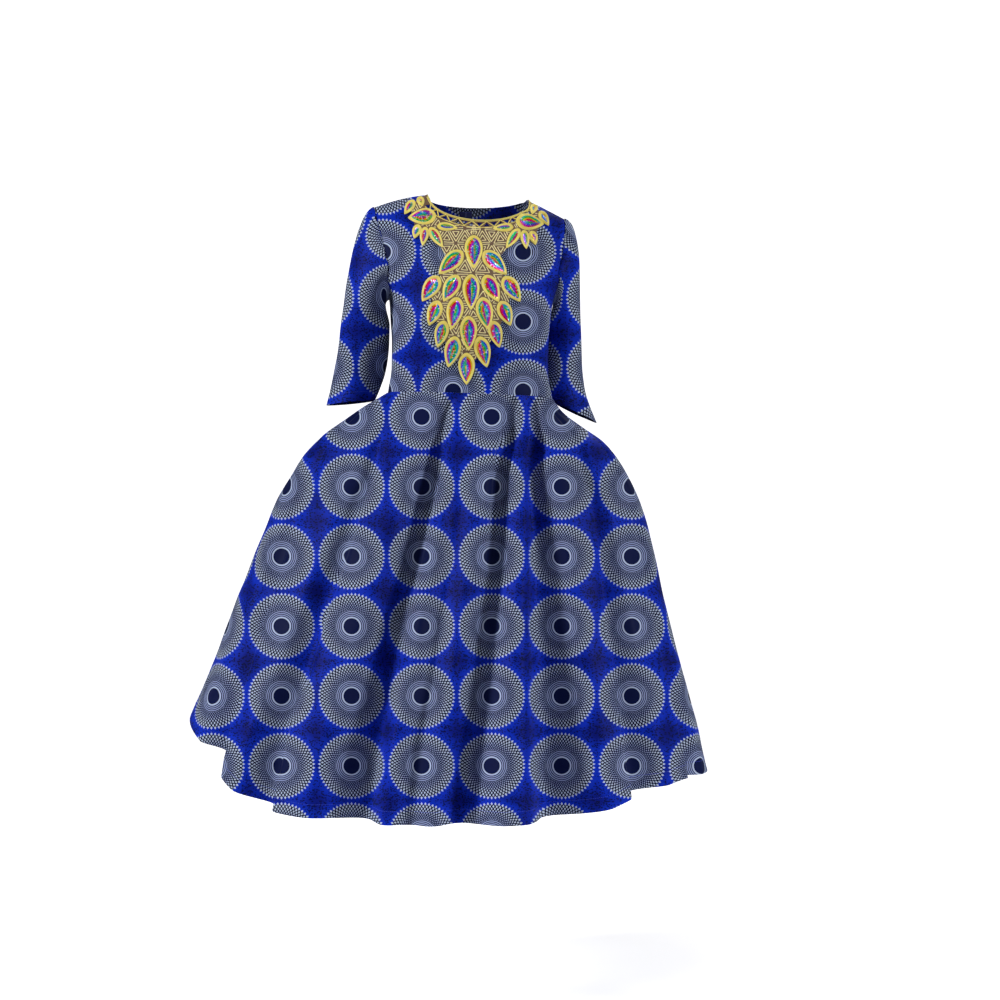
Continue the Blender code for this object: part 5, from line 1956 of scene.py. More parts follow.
    def build_sequins(self, foil: Finish, colours: int, hues: int) -> Piece:
        """Makes the sequins: small cupped discs in rings that overlap like scales inside each leaf.

        Args:
            foil: their finish, coloured by the pattern coordinate.
            colours: how many colours the finish has.
            hues: how many of them are strong hues; the rest are painted glints, white and pale blue.

        Returns:
            The object.
        """
        draft = MeshDraft()
        for leaf in self.leaves:
            first, second = self.random.uniform(0, hues), self.random.uniform(*self.HUE_SIDES)
            inset, ring = self.RING_START, 0
            while leaf.width - 2 * inset > self.LAST_RING:
                half = max(leaf.width - 2 * inset, self.LEAST_RING)
                shape = Leaf(leaf.x, leaf.z, leaf.length - Leaf.TIP_INSET * inset, half, leaf.lean)
                spots = shape.outline(0.0, self.RING_POINTS)
                loop = self.even(spots + spots[:1], self.RING_RUN)
                run, count = 0.0, 0
                total = sum(math.dist(a, b) for a, b in zip(loop, loop[1:]))
                for a, b in zip(loop, loop[1:]):
                    run += math.dist(a, b)
                    if run < count * self.SEQUIN_STEP:
                        continue
                    count += 1
                    band = first + self.HUE_RING * ring + (second if run < total / 2 else 0.0)
                    shade = int(band + self.random.uniform(-self.HUE_SPREAD, self.HUE_SPREAD)) % hues
                    # A few sequins are coloured white or pale blue: painted glints
                    if self.random.random() < self.GLINTS:
                        shade = hues + self.random.randrange(colours - hues)
                    self.add_sequin(draft, a, b, (shade + 0.5) / colours)
                inset += self.RING_STEP
                ring += 1
        return draft.build("applique_sequins", [foil], sharp_deg=20.0)

    def add_sequin(self, draft: MeshDraft, spot: Spot, after: Spot, shade: float) -> None:
        """Adds a sequin to a draft.

        Args:
            draft: the draft.
            spot: its x and z.
            after: the next spot along its ring, which it tilts towards.
            shade: its colour's place.
        """
        middle, out = self.on_cloth(*spot, self.NET_GAP + self.BED + self.SEQUIN_HEIGHT)
        along = Vector((after[0] - spot[0], 0, after[1] - spot[1]))
        along = (along - out * along.dot(out)).normalized()
        across = out.cross(along)
        lean = self.LEAN + self.random.uniform(*self.LEAN_RANGE)
        roll = self.random.uniform(-self.ROLL, self.ROLL)
        facing = (out - along * lean + across * roll).normalized()
        side = (along - facing * along.dot(facing)).normalized()
        other = facing.cross(side)
        centre = draft.point(middle - facing * self.SEQUIN_CUP, (shade, 0.5))
        rim = []
        for k in range(6):
            a = math.pi * k / 3 + self.SEQUIN_TURN
            place = middle + (side * math.cos(a) + other * math.sin(a)) * self.SEQUIN
            rim.append(draft.point(place, (shade, 0.5)))
        for k in range(6):
            draft.face((centre, rim[k], rim[(k + 1) % 6]))


class Sewing:
    """Machine stitches along hems and edges."""

    STITCH = 0.0026
    GAP = 0.0011
    RADIUS = 0.00024
    # How far the thread's middle stands off the cloth, as a share of its radius
    LIFT = 0.6

    def __init__(self) -> None:
        """Starts with no stitches."""
        self.draft = MeshDraft()

    def sew(self, path: Sequence[Vector], outs: Sequence[Vector]) -> None:
        """Sews a line of stitches.

        Args:
            path: points on the cloth.
            outs: the direction out of the cloth at each.
        """
        run, next_start = 0.0, 0.0
        for a, b, out in zip(path, path[1:], outs):
            length = (b - a).length
            while length > 0 and next_start < run + length:
                start = a.lerp(b, (next_start - run) / length)
                end = start + (b - a).normalized() * self.STITCH
                lift = out * self.RADIUS * self.LIFT
                self.draft.tube([start + lift, end + lift], [out, out], self.RADIUS, 4, False)
                next_start += self.STITCH + self.GAP
            run += length

    @staticmethod
    def measured(line: Sequence[Vector], distance: float) -> tuple[int, Vector]:
        """Measures a distance along a line of points.

        Args:
            line: the points.
            distance: how far from the first.

        Returns:
            The number of the last point passed, and the place.
        """
        k = 0
        while distance > (line[k + 1] - line[k]).length:
            distance -= (line[k + 1] - line[k]).length
            k += 1
        return k, line[k] + (line[k + 1] - line[k]).normalized() * distance

    def along_row(self, panel: ClothPanel, distance: float) -> None:
        """Sews round a panel, parallel to its lower edge.

        Args:
            panel: the panel.
            distance: how far above its lower edge.
        """
        path, outs = [], []
        columns = len(panel.grid[0])
        for c in list(range(columns)) + ([0] if panel.closed else []):
            line = [row[c] for row in panel.grid]
            r, place = self.measured(line, distance)
            path.append(place)
            outs.append(panel.normals[r][c])
        self.sew(path, outs)

    def along_column(self, panel: ClothPanel, column: int, distance: float, low: int, high: int) -> None:
        """Sews up a panel, parallel to one of its side edges.

        Args:
            panel: the panel.
            column: 0 or -1, the edge.
            distance: how far in from the edge.
            low: the first row.
            high: the row after the last.
        """
        path, outs = [], []
        for r in range(low, high):
            line = panel.grid[r] if column == 0 else panel.grid[r][::-1]
            normals = panel.normals[r] if column == 0 else panel.normals[r][::-1]
            c, place = self.measured(line, distance)
            path.append(place)
            outs.append(normals[c])
        self.sew(path, outs)

    def build(self, thread: Finish) -> Piece:
        """Makes the stitches."""
        return self.draft.build("stitching", [thread], sharp_deg=60.0)


class Zip:
    """The concealed zip's teeth, on the inside of its tape, and the finish of its slider and pull."""

    PITCH = 0.0017
    TAPE_MIDDLE = 0.0024
    TAPE_THICKNESS = 0.0011
    TOOTH_GAP = 0.0003
    # Half a tooth's width, height and length, and its faces by corner
    TOOTH = (0.0016, 0.0005, 0.00055)
    TOOTH_FACES = ((0, 1, 3, 2), (4, 6, 7, 5), (0, 4, 5, 1), (2, 3, 7, 6), (0, 2, 6, 4), (1, 5, 7, 3))
    # Where the tape ends: the skirt row below the waist, and the share of the last bodice row
    SKIRT_END = 5
    TOP_SHARE = 0.8
    BEVEL = 0.0003

    def __init__(self, form: DressForm) -> None:
        """Keeps the form."""
        self.form = form

    def line(self) -> list[Vector]:
        """Returns the tape's middle line on the cloth's outer surface, upwards."""
        form, s = self.form, self.form.sizes
        folds = BACK_RIGHT_FOLDS + BACK_LEFT_FOLDS
        drops = [share * form.skirt_length(180) for share in Panels.SKIRT_ROWS[self.SKIRT_END : 0 : -1]]
        middles = [form.skirt_point(folds, 180, drop, True, 0) for drop in drops]
        top = s.bodice_height - s.neck_back
        rows = (Panels.SIDE_ROWS + Panels.ARMHOLE_ROWS) // Panels.FINE_ROWS
        middles += [form.bodice_point(180, top * k / rows, True) for k in range(rows)]
        middles.append(middles[-1].lerp(form.bodice_point(180, top, True), self.TOP_SHARE))
        return middles

    def build_teeth(self, nylon: Finish) -> Piece:
        """Makes the teeth.

        Args:
            nylon: their finish.

        Returns:
            The object.
        """
        draft = MeshDraft()
        line = self.line()
        depth = self.TAPE_MIDDLE + self.TAPE_THICKNESS + self.TOOTH_GAP
        width, height, half_length = self.TOOTH
        across = Vector((1, 0, 0))
        run = 0.0
        for a, b in zip(line, line[1:]):
            along = (b - a).normalized()
            out = Vector((0, along.z, -along.y))
            length = (b - a).length
            while run < length:
                middle = a + along * run - out * depth
                corners = []
                for i, j, k in product((-1, 1), repeat=3):
                    place = middle + across * i * width + out * j * height + along * k * half_length
                    corners.append(draft.point(place))
                for face in self.TOOTH_FACES:
                    draft.face([corners[n] for n in face])
                run += self.PITCH
            run -= length
        return draft.build("zip_teeth", [nylon], sharp_deg=30.0)

    @staticmethod
    def finish_node(name: str, finish: Finish, bevel: float) -> Piece:
        """Gives a hard piece of the construction its finish and soft edges.

        Args:
            name: the node.
            finish: its finish.
            bevel: the edges' radius, or 0.

        Returns:
            The node's object.
        """
        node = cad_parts[name]
        node.data.materials.clear()
        node.data.materials.append(finish)
        if bevel:
            soft = node.modifiers.new("soft edges", "BEVEL")
            soft.width = bevel
            soft.segments = 3
            soft.limit_method = "ANGLE"
        return node


class Graph:
    """A material's node graph round one Principled shader."""

    CELL_INPUTS = ("Vector", "Scale", "Randomness")
    # Nodes other than maths: type, settings, inputs in the order of the values given, output
    KINDS: dict[str, tuple] = {
        "PATTERN": ("UVMap", {"uv_map": "pattern"}, (), 0),
        "PARTS": ("SeparateXYZ", {}, (0,), 0),
        "PLACE": ("CombineXYZ", {}, (0, 1), 0),
        "MIX": ("Mix", {"data_type": "RGBA"}, (0, 6, 7), 2),
        "STEP": ("MapRange", {"interpolation_type": "SMOOTHSTEP"}, (1, 2, 0), 0),
        "CELLS": ("TexVoronoi", {}, CELL_INPUTS, "Distance"),
        "MESH": ("TexVoronoi", {"feature": "DISTANCE_TO_EDGE"}, CELL_INPUTS, "Distance"),
        "CLOUDS": ("TexNoise", {}, ("Vector", "Scale", "Detail"), 0),
        "BUMP": ("Bump", {}, ("Strength", "Distance", "Height"), 0),
        "RAMP": ("ValToRGB", {}, (0,), 0),
    }

    def __init__(self, name: str, roughness: float, metallic: float = 0.0) -> None:
        """Makes the material.

        Args:
            name: the real material and how it was made.
            roughness: the shader's roughness.
            metallic: how metallic it is.
        """
        self.material = bpy.data.materials.new(name)
        self.material.use_nodes = True
        self.tree = self.material.node_tree
        self.shader = self.tree.nodes["Principled BSDF"]
        self.feed("Roughness", roughness)
        self.feed("Metallic", metallic)

    def add(self, kind: str, *values: Value) -> Socket:
        """Adds a node with its settings and links.

        Args:
            kind: a word of the table, or else a maths operation.
            values: a number, a colour or another node's output for each input.

        Returns:
            The node's output.
        """
        maths = ("Math", {"operation": kind}, (0, 1, 2), 0)
        family, settings, inputs, output = self.KINDS.get(kind, maths)
        node = self.tree.nodes.new("ShaderNode" + family)
        for key, value in settings.items():
            setattr(node, key, value)
        for key, value in zip(inputs, values):
            self.set_input(node.inputs[key], value)
        return node.outputs[output]

    def set_input(self, socket: Socket, value: Value) -> None:
        """Sets or links an input.

        Args:
            socket: the input.
            value: a number, a colour or another node's output.
        """
        if isinstance(value, Socket):
            self.tree.links.new(value, socket)
        else:
            socket.default_value = linear(value) if isinstance(value, str) else value

    def feed(self, name: str, value: Value) -> None:
        """Sets or links an input of the shader."""
        self.set_input(self.shader.inputs[name], value)

    def pattern(self) -> tuple[Socket, Socket]:
        """Returns the pattern coordinates' two parts."""
        first = self.add("PARTS", self.add("PATTERN"))
        return first, first.node.outputs[1]


@dataclass(frozen=True)
class WaxPrint:
    """Block-printed wax cotton: discs of rings and quilled lozenges on royal blue, sizes in millimetres."""

    pitch: float = 135.7
    eye: float = 15.7
    eye_rim: float = 18.3
    rings_end: float = 31.6
    ring_step: float = 3.5
    ring_first: float = 21.6
    lozenges: int = 54
    spread: float = 6.0
    first_row: float = 31.8
    rows: int = 8
    dark_edge: float = 61.0
    # Share of a lozenge cell that is white in the first row, and its growth a row
    lozenge: float = 0.245
    lozenge_growth: float = 0.009
    # Half the share of a ring's step that its line takes
    line: float = 0.25
    # Radii between which the lozenges turn from pale to white
    white_start: float = 38.0
    white_end: float = 52.0
    # The dashes' size and its growth, their pitch along and across, where they grow and the rim's blue ends
    dash: float = 0.15
    dash_growth: float = 0.30
    dash_share: float = 0.85
    dash_across: float = 4.6
    dash_up: float = 3.2
    dash_start: float = 60.0
    dash_end: float = 74.0
    rim_start: float = 66.0
    rim_end: float = 92.0
    # Deeper clouds of dye: the noise values between which they grow, and how much they take of the ground
    cloud_start: float = 0.45
    cloud_end: float = 0.75
    cloud_share: float = 0.6
    ground: str = "#06177E"
    rim: str = "#0B2EBA"
    deep: str = "#03084E"
    speckle: str = "#020A22"
    navy: str = "#03062A"
    pupil: str = "#0A1440"
    slate: str = "#0A1032"
    pale: str = "#94A2CE"
    white: str = "#B4C2DC"

    def build(self) -> Finish:
        """Makes the cloth's material.

        Returns:
            The material.
        """
        g = Graph("wax-resist printed cotton, calendered", 0.58)
        u, v = g.pattern()
        across, up = (self.local(g, part) for part in (u, v))
        radius = g.add("SQRT", g.add("ADD", g.add("MULTIPLY", across, across), g.add("MULTIPLY", up, up)))
        turn = g.add("MULTIPLY", g.add("ARCTAN2", up, across), self.lozenges / (2 * math.pi))
        climb = g.add("LOGARITHM", g.add("DIVIDE", radius, self.first_row), math.e)
        climb = g.add("MULTIPLY", climb, self.spread)
        one, two = g.add("ADD", turn, climb), g.add("SUBTRACT", turn, climb)
        row = g.add("SUBTRACT", g.add("FLOOR", one), g.add("FLOOR", two))
        sides = (g.add("SUBTRACT", g.add("FRACT", side), 0.5) for side in (one, two))
        away = g.add("MAXIMUM", *(g.add("ABSOLUTE", side) for side in sides))
        size = g.add("MULTIPLY_ADD", row, self.lozenge_growth, self.lozenge)
        in_rows = g.add("LESS_THAN", row, self.rows + 0.5)
        lozenge = g.add("MULTIPLY", g.add("LESS_THAN", away, size), in_rows)
        lozenge = g.add("MULTIPLY", lozenge, g.add("GREATER_THAN", radius, self.first_row - 1.0))
        cloth = self.ground_colour(g, u, v, radius)
        to_edge = g.add("STEP", self.first_row, self.dark_edge, radius)
        quilled = g.add("MIX", to_edge, self.slate, self.navy)
        disc = g.add("MIX", g.add("GREATER_THAN", radius, self.dark_edge), quilled, cloth)
        white = g.add("MIX", g.add("STEP", self.white_start, self.white_end, radius), self.pale, self.white)
        disc = g.add("MIX", lozenge, disc, white)
        from_first = g.add("SUBTRACT", radius, self.ring_first - self.ring_step / 2)
        phase = g.add("FRACT", g.add("DIVIDE", from_first, self.ring_step))
        thin = g.add("LESS_THAN", g.add("ABSOLUTE", g.add("SUBTRACT", phase, 0.5)), self.line)
        rings = g.add("MIX", thin, self.slate, self.pale)
        rings = g.add("MIX", g.add("LESS_THAN", radius, self.eye_rim), rings, self.white)
        rings = g.add("MIX", g.add("LESS_THAN", radius, self.eye), rings, self.pupil)
        g.feed("Base Color", g.add("MIX", g.add("LESS_THAN", radius, self.rings_end), disc, rings))
        # A light calendered sheen that shows on the folds' turning edges
        g.feed("Sheen Weight", 0.03)
        g.feed("Sheen Roughness", 0.45)
        g.feed("Specular IOR Level", 0.06)
        self.add_weave(g, u, v)
        return g.material

    def local(self, g: Graph, part: Socket) -> Socket:
        """Returns the distance from the nearest disc's middle along one coordinate."""
        return g.add("MULTIPLY", g.add("SUBTRACT", part, g.add("ROUND", part)), self.pitch)

    def ground_colour(self, g: Graph, u: Socket, v: Socket, radius: Socket) -> Socket:
        """Colours the cloth between the discs, with its dash-like speckles.

        Args:
            g: the graph.
            u: the pattern's first coordinate.
            v: the pattern's second coordinate.
            radius: the distance from the disc's middle.

        Returns:
            The colour.
        """
        along = g.add("MULTIPLY", u, self.pitch / self.dash_across)
        vector = g.add("PLACE", along, g.add("MULTIPLY", v, self.pitch / self.dash_up))
        grown = g.add("STEP", self.dash_start, self.dash_end, radius)
        reach = g.add("MULTIPLY_ADD", grown, self.dash_growth, self.dash)
        dash = g.add("LESS_THAN", g.add("CELLS", vector, 1.0, 0.85), reach)
        base = g.add("MIX", g.add("STEP", self.rim_start, self.rim_end, radius), self.rim, self.ground)
        wide = g.add("STEP", self.cloud_start, self.cloud_end, g.add("CLOUDS", vector, 0.05, 2.0))
        base = g.add("MIX", g.add("MULTIPLY", wide, self.cloud_share), base, self.deep)
        return g.add("MIX", g.add("MULTIPLY", dash, self.dash_share), base, self.speckle)

    def add_weave(self, g: Graph, u: Socket, v: Socket) -> None:
        """Gives the cloth the fine unevenness of its threads.

        Args:
            g: the graph.
            u: the pattern's first coordinate.
            v: the pattern's second coordinate.
        """
        vector = g.add("PLACE", g.add("MULTIPLY", u, self.pitch), g.add("MULTIPLY", v, self.pitch))
        slub = g.add("CLOUDS", vector, 0.9, 3.0)
        g.feed("Normal", g.add("BUMP", 0.10, 0.0004, slub))
        g.feed("Roughness", g.add("MULTIPLY_ADD", slub, 0.16, 0.50))


@dataclass(frozen=True)
class Net:
    """Knotted net or dense embroidery ground, its mesh in millimetres."""

    name: str
    thread: str
    hole: str
    mesh: float
    open_share: float

    def build(self) -> Finish:
        """Makes the net's material.

        Returns:
            The material.
        """
        g = Graph(self.name, 0.7)
        u, v = g.pattern()
        vector = g.add("PLACE", g.add("DIVIDE", u, self.mesh), g.add("DIVIDE", v, self.mesh))
        hole = g.add("STEP", 0.5 - self.open_share, 0.62 - self.open_share, g.add("MESH", vector, 1.0, 0.35))
        # Threads stand up between the mesh's openings
        g.feed("Base Color", g.add("MIX", hole, self.thread, self.hole))
        g.feed("Normal", g.add("BUMP", 0.5, 0.0005, g.add("SUBTRACT", 1.0, hole)))
        return g.material


@dataclass(frozen=True)
class Cord:
    """Metallic-wrapped twisted cord: its coordinates are millimetres along and turns around."""

    name: str
    # The twist's painted highlight on the crowns and painted shade in the grooves
    light: str
    dark: str
    twist: float = 2.3

    def build(self) -> Finish:
        """Makes the cord's material.

        Returns:
            The material.
        """
        g = Graph(self.name, 0.40)
        u, v = g.pattern()
        turns = g.add("MULTIPLY", g.add("ADD", g.add("DIVIDE", u, self.twist), v), 2 * math.pi)
        ply = g.add("MULTIPLY_ADD", g.add("SINE", turns), 0.5, 0.5)
        # Painted highlight on each ply's crown and painted shade in the twist's grooves; the bump raises each
        # ply
        g.feed("Base Color", g.add("MIX", ply, self.dark, self.light))
        g.feed("Normal", g.add("BUMP", 0.55, 0.0004, ply))
        return g.material


@dataclass(frozen=True)
class Foil:
    """Pressed iridescent foil sequins, a colour for each pattern place."""

    name: str = "pressed foil sequins"
    hues: int = 8
    colours: tuple[str, ...] = (
        "#F4122E",
        "#F20C96",
        "#A018E8",
        "#2A38F0",
        "#0FB4F0",
        "#08CE9A",
        "#22C838",
        "#F8D21E",
        # The last two colours are painted glints: white and pale blue sequins in place of the foil's sparkle
        "#FFFFFF",
        "#B8F4FF",
    )

    def build(self) -> Finish:
        """Makes the sequins' material.

        Returns:
            The material.
        """
        g = Graph(self.name, 0.24, 0.22)
        u, _ = g.pattern()
        shade = g.add("RAMP", u)
        ramp = shade.node.color_ramp
        ramp.interpolation = "CONSTANT"
        count = len(self.colours)
        for k, colour in enumerate(self.colours):
            stop = ramp.elements.new(k / count) if k else ramp.elements[0]
            stop.position = k / count
            stop.color = linear(colour)
        ramp.elements.remove(ramp.elements[-1])
        g.feed("Base Color", shade)
        # A clear lacquer gives the sharp second glint
        g.feed("Coat Weight", 0.6)
        g.feed("Coat Roughness", 0.08)
        return g.material


@dataclass(frozen=True)
class Plain:
    """A finish of one colour."""

    name: str
    colour: str
    roughness: float
    metallic: float = 0.0
    glow: float = 0.0

    def build(self) -> Finish:
        """Makes the material.

        Returns:
            The material.
        """
        g = Graph(self.name, self.roughness, self.metallic)
        g.feed("Base Color", self.colour)
        g.feed("Emission Color", self.colour)
        g.feed("Emission Strength", self.glow)
        return g.material


@dataclass(frozen=True)
class Lamp:
    """A soft area light: places and size in metres, power in watts."""

    name: str
    place: tuple[float, float, float]
    aim: tuple[float, float, float]
    size: float
    power: float

    def build(self) -> Piece:
        """Makes the light.

        Returns:
            The object.
        """
        data = bpy.data.lights.new(self.name, "AREA")
        data.shape = "DISK"
        data.size = self.size
        data.energy = self.power
        lamp = bpy.data.objects.new(self.name, data)
        lamp.location = self.place
        lamp.rotation_euler = (Vector(self.aim) - Vector(self.place)).to_track_quat("-Z", "Y").to_euler()
        bpy.context.scene.collection.objects.link(lamp)
        return lamp


class Studio:
    """The pale floor, the soft light and the camera at the photo's angle."""

    FLOOR_Z = -1.545
    FLOOR_RADIUS = 1.5
    WALL_RADIUS = 9.0
    WALL_HEIGHT = 9.0
    BEND = 1.0
    # Faces of the bend from floor to wall, over a quarter turn
    BEND_STEPS = 6
    LENS = 92.8
    SENSOR = 36.0
    AIR = 0.03
    SIDES = 96
    LAMPS = (
        Lamp("key light", (-3.6, -1.8, 1.3), (0.0, 0.0, -0.60), 0.9, 144.0),
        Lamp("side light", (3.8, -1.7, 1.1), (0.0, 0.0, -0.60), 0.9, 114.0),
        Lamp("front light", (0.2, -3.0, 2.4), (0.0, 0.0, -0.30), 0.8, 20.0),
        Lamp("back light", (0.8, 2.4, 1.7), (0.0, 0.0, -0.40), 1.6, 30.0),
    )

    def turned(self, name: str, finish: Finish, profile: list[Spot]) -> Piece:
        """Turns a profile all round, open to the inside.

        Args:
            name: the object's name.
            finish: its finish.
            profile: radius and height above the floor in metres, from the middle outwards.

        Returns:
            The object.
        """
        draft = MeshDraft()
        turns = [2 * math.pi * k / self.SIDES for k in range(self.SIDES)]
        rings = []
        for r, z in profile:
            places = [Vector((r * math.cos(a), r * math.sin(a), self.FLOOR_Z + z)) for a in turns]
            rings.append([draft.point(place) for place in places])
        for inner, outer in zip(rings, rings[1:]):
            for k in range(self.SIDES):
                n = (k + 1) % self.SIDES
                if profile[0][0] == 0.0:
                    draft.face((inner[0], outer[k], outer[n]), 0)
                else:
                    draft.face((inner[k], outer[k], outer[n], inner[n]), 0)
        return draft.build(name, [finish])

    def build(self) -> None:
        """Builds the studio."""
        scene = bpy.context.scene
        near = Plain("matt seamless paper", "#F6F6F8", 0.9, glow=0.60).build()
        far = Plain("matt paper wall lit from behind", "#F6F6F8", 0.9, glow=1.15).build()
        self.turned("floor", near, [(0.0, 0.0), (self.FLOOR_RADIUS, 0.0)])
        foot = self.WALL_RADIUS - self.BEND
        ring = [(self.FLOOR_RADIUS, 0.0), (foot, 0.0)]
        for k in range(1, self.BEND_STEPS + 1):
            a = k * math.pi / (2 * self.BEND_STEPS)
            ring.append((foot + self.BEND * math.sin(a), self.BEND * (1 - math.cos(a))))
        ring.append((self.WALL_RADIUS, self.WALL_HEIGHT))
        wall = self.turned("paper_wall", far, ring)
        wall.visible_diffuse = wall.visible_glossy = wall.visible_shadow = False
        world = bpy.data.worlds.new("studio")
        world.use_nodes = True
        sky = world.node_tree.nodes["Background"]
        sky.inputs[0].default_value = linear("#FBFBFF")
        sky.inputs[1].default_value = self.AIR
        scene.world = world
        for lamp in self.LAMPS:
            lamp.build()
        data = bpy.data.cameras.new("camera")
        data.lens, data.sensor_width = self.LENS, self.SENSOR
        camera = bpy.data.objects.new("camera", data)
        camera.location = PrintMap.EYE
        camera.rotation_euler = (math.radians(90), 0, 0)
        scene.collection.objects.link(camera)
        scene.camera = camera
        scene.view_settings.view_transform = "Standard"


@dataclass(frozen=True)
class Cut:
    """What shows of a panel's cut, laid flat: width, length and area in metres, and how it is held."""

    width: float
    length: float
    area: float
    held: str


CREASES: dict[str, tuple[Crease, ...]] = {
    "bodice_front": (
        Crease((0.06, 0.46), (0.24, 0.34), 1.9, 9.0),
        Crease((0.05, 0.38), (0.20, 0.24), 1.4, 8.0),
        Crease((0.95, 0.47), (0.78, 0.33), 2.1, 9.0),
        Crease((0.96, 0.36), (0.82, 0.22), 1.5, 7.0),
        Crease((0.16, 0.02), (0.21, 0.20), 1.7, 8.0),
        Crease((0.30, 0.01), (0.33, 0.15), 1.3, 8.0),
        Crease((0.69, 0.01), (0.66, 0.17), 1.5, 8.0),
        Crease((0.84, 0.02), (0.80, 0.19), 1.8, 8.0),
        Crease((0.03, 0.70), (0.11, 0.56), 1.6, 7.0),
        Crease((0.97, 0.72), (0.90, 0.55), 1.8, 8.0),
        Crease((0.04, 0.16), (0.17, 0.10), 1.2, 7.0),
        Crease((0.96, 0.14), (0.85, 0.08), 1.3, 7.0),
    ),
    "bodice_back_left": (
        Crease((0.92, 0.44), (0.55, 0.34), 1.9, 10.0),
        Crease((0.20, 0.03), (0.28, 0.24), 1.8, 9.0),
        Crease((0.62, 0.02), (0.58, 0.18), 1.5, 8.0),
        Crease((0.90, 0.16), (0.52, 0.12), 1.3, 8.0),
        Crease((0.90, 0.70), (0.66, 0.60), 1.7, 9.0),
    ),
    "bodice_back_right": (
        Crease((0.07, 0.46), (0.42, 0.32), 2.0, 10.0),
        Crease((0.78, 0.03), (0.70, 0.22), 1.6, 9.0),
        Crease((0.36, 0.02), (0.42, 0.20), 1.7, 8.0),
        Crease((0.10, 0.18), (0.46, 0.11), 1.2, 8.0),
        Crease((0.12, 0.72), (0.34, 0.58), 1.8, 9.0),
    ),
    "sleeve_left": (
        Crease((0.05, 0.62), (0.32, 0.50), 2.2, 9.0),
        Crease((0.10, 0.48), (0.40, 0.42), 1.8, 8.0),
        Crease((0.30, 0.30), (0.62, 0.38), 2.0, 8.0),
        Crease((0.56, 0.24), (0.84, 0.34), 2.2, 8.0),
        Crease((0.60, 0.66), (0.86, 0.54), 2.0, 9.0),
        Crease((0.66, 0.12), (0.90, 0.20), 1.7, 7.0),
        Crease((0.14, 0.14), (0.36, 0.20), 1.5, 7.0),
        Crease((0.44, 0.80), (0.56, 0.60), 1.6, 9.0),
    ),
    "sleeve_right": (
        Crease((0.06, 0.56), (0.34, 0.66), 2.0, 9.0),
        Crease((0.12, 0.36), (0.42, 0.26), 2.2, 8.0),
        Crease((0.58, 0.34), (0.90, 0.46), 2.0, 8.0),
        Crease((0.16, 0.20), (0.44, 0.12), 1.9, 8.0),
        Crease((0.60, 0.18), (0.84, 0.24), 1.7, 7.0),
        Crease((0.64, 0.52), (0.88, 0.62), 1.8, 9.0),
        Crease((0.46, 0.82), (0.42, 0.60), 1.6, 9.0),
    ),
    "skirt_front": (
        Crease((0.333, 0.0), (0.333, 0.66), 12.0, 19.0),
        Crease((0.333, 0.32), (0.333, 0.97), 8.0, 15.0),
        Crease((0.556, 0.0), (0.556, 0.64), 11.0, 18.0),
        Crease((0.556, 0.36), (0.556, 0.96), 8.0, 14.0),
        Crease((0.667, 0.0), (0.667, 0.68), 13.0, 20.0),
        Crease((0.667, 0.34), (0.667, 0.96), 8.0, 15.0),
        Crease((0.200, 0.0), (0.200, 0.66), 8.0, 18.0),
        Crease((0.444, 0.04), (0.444, 0.48), 5.0, 15.0),
        Crease((0.775, 0.0), (0.775, 0.62), 7.0, 17.0),
        Crease((0.13, 0.02), (0.20, 0.58), 5.0, 20.0),
        Crease((0.045, 0.03), (0.09, 0.50), 4.0, 18.0),
        Crease((0.255, 0.04), (0.29, 0.52), -4.5, 22.0),
        Crease((0.335, 0.02), (0.355, 0.44), 4.0, 17.0),
        Crease((0.475, 0.03), (0.485, 0.60), -4.0, 19.0),
        Crease((0.565, 0.02), (0.56, 0.42), 3.5, 15.0),
        Crease((0.655, 0.02), (0.635, 0.55), -4.5, 20.0),
        Crease((0.745, 0.03), (0.72, 0.50), 4.5, 18.0),
        Crease((0.85, 0.02), (0.80, 0.56), 4.0, 18.0),
        Crease((0.94, 0.03), (0.90, 0.46), 3.5, 16.0),
        Crease((0.23, 0.985), (0.25, 0.86), 2.0, 7.0),
        Crease((0.38, 0.985), (0.385, 0.84), 2.4, 7.0),
        Crease((0.455, 0.985), (0.45, 0.88), 1.8, 6.0),
        Crease((0.60, 0.985), (0.595, 0.85), 2.2, 7.0),
        Crease((0.70, 0.985), (0.69, 0.86), 2.0, 7.0),
        Crease((0.80, 0.985), (0.785, 0.87), 1.8, 7.0),
        Crease((0.12, 0.93), (0.20, 0.80), 2.2, 9.0),
        Crease((0.90, 0.93), (0.84, 0.80), 2.2, 9.0),
    ),
    "skirt_back_left": (
        Crease((0.22, 0.03), (0.28, 0.52), 4.5, 18.0),
        Crease((0.48, 0.02), (0.50, 0.58), -4.5, 20.0),
        Crease((0.72, 0.03), (0.70, 0.48), 4.0, 17.0),
        Crease((0.90, 0.03), (0.86, 0.50), 4.0, 18.0),
        Crease((0.30, 0.985), (0.33, 0.85), 2.2, 7.0),
        Crease((0.64, 0.985), (0.63, 0.86), 2.0, 7.0),
    ),
    "skirt_back_right": (
        Crease((0.12, 0.03), (0.16, 0.50), 4.0, 18.0),
        Crease((0.34, 0.02), (0.37, 0.56), 4.5, 18.0),
        Crease((0.58, 0.03), (0.57, 0.50), -4.5, 20.0),
        Crease((0.80, 0.02), (0.76, 0.54), 4.5, 18.0),
        Crease((0.38, 0.985), (0.40, 0.85), 2.0, 7.0),
        Crease((0.70, 0.985), (0.69, 0.86), 2.2, 7.0),
    ),
}

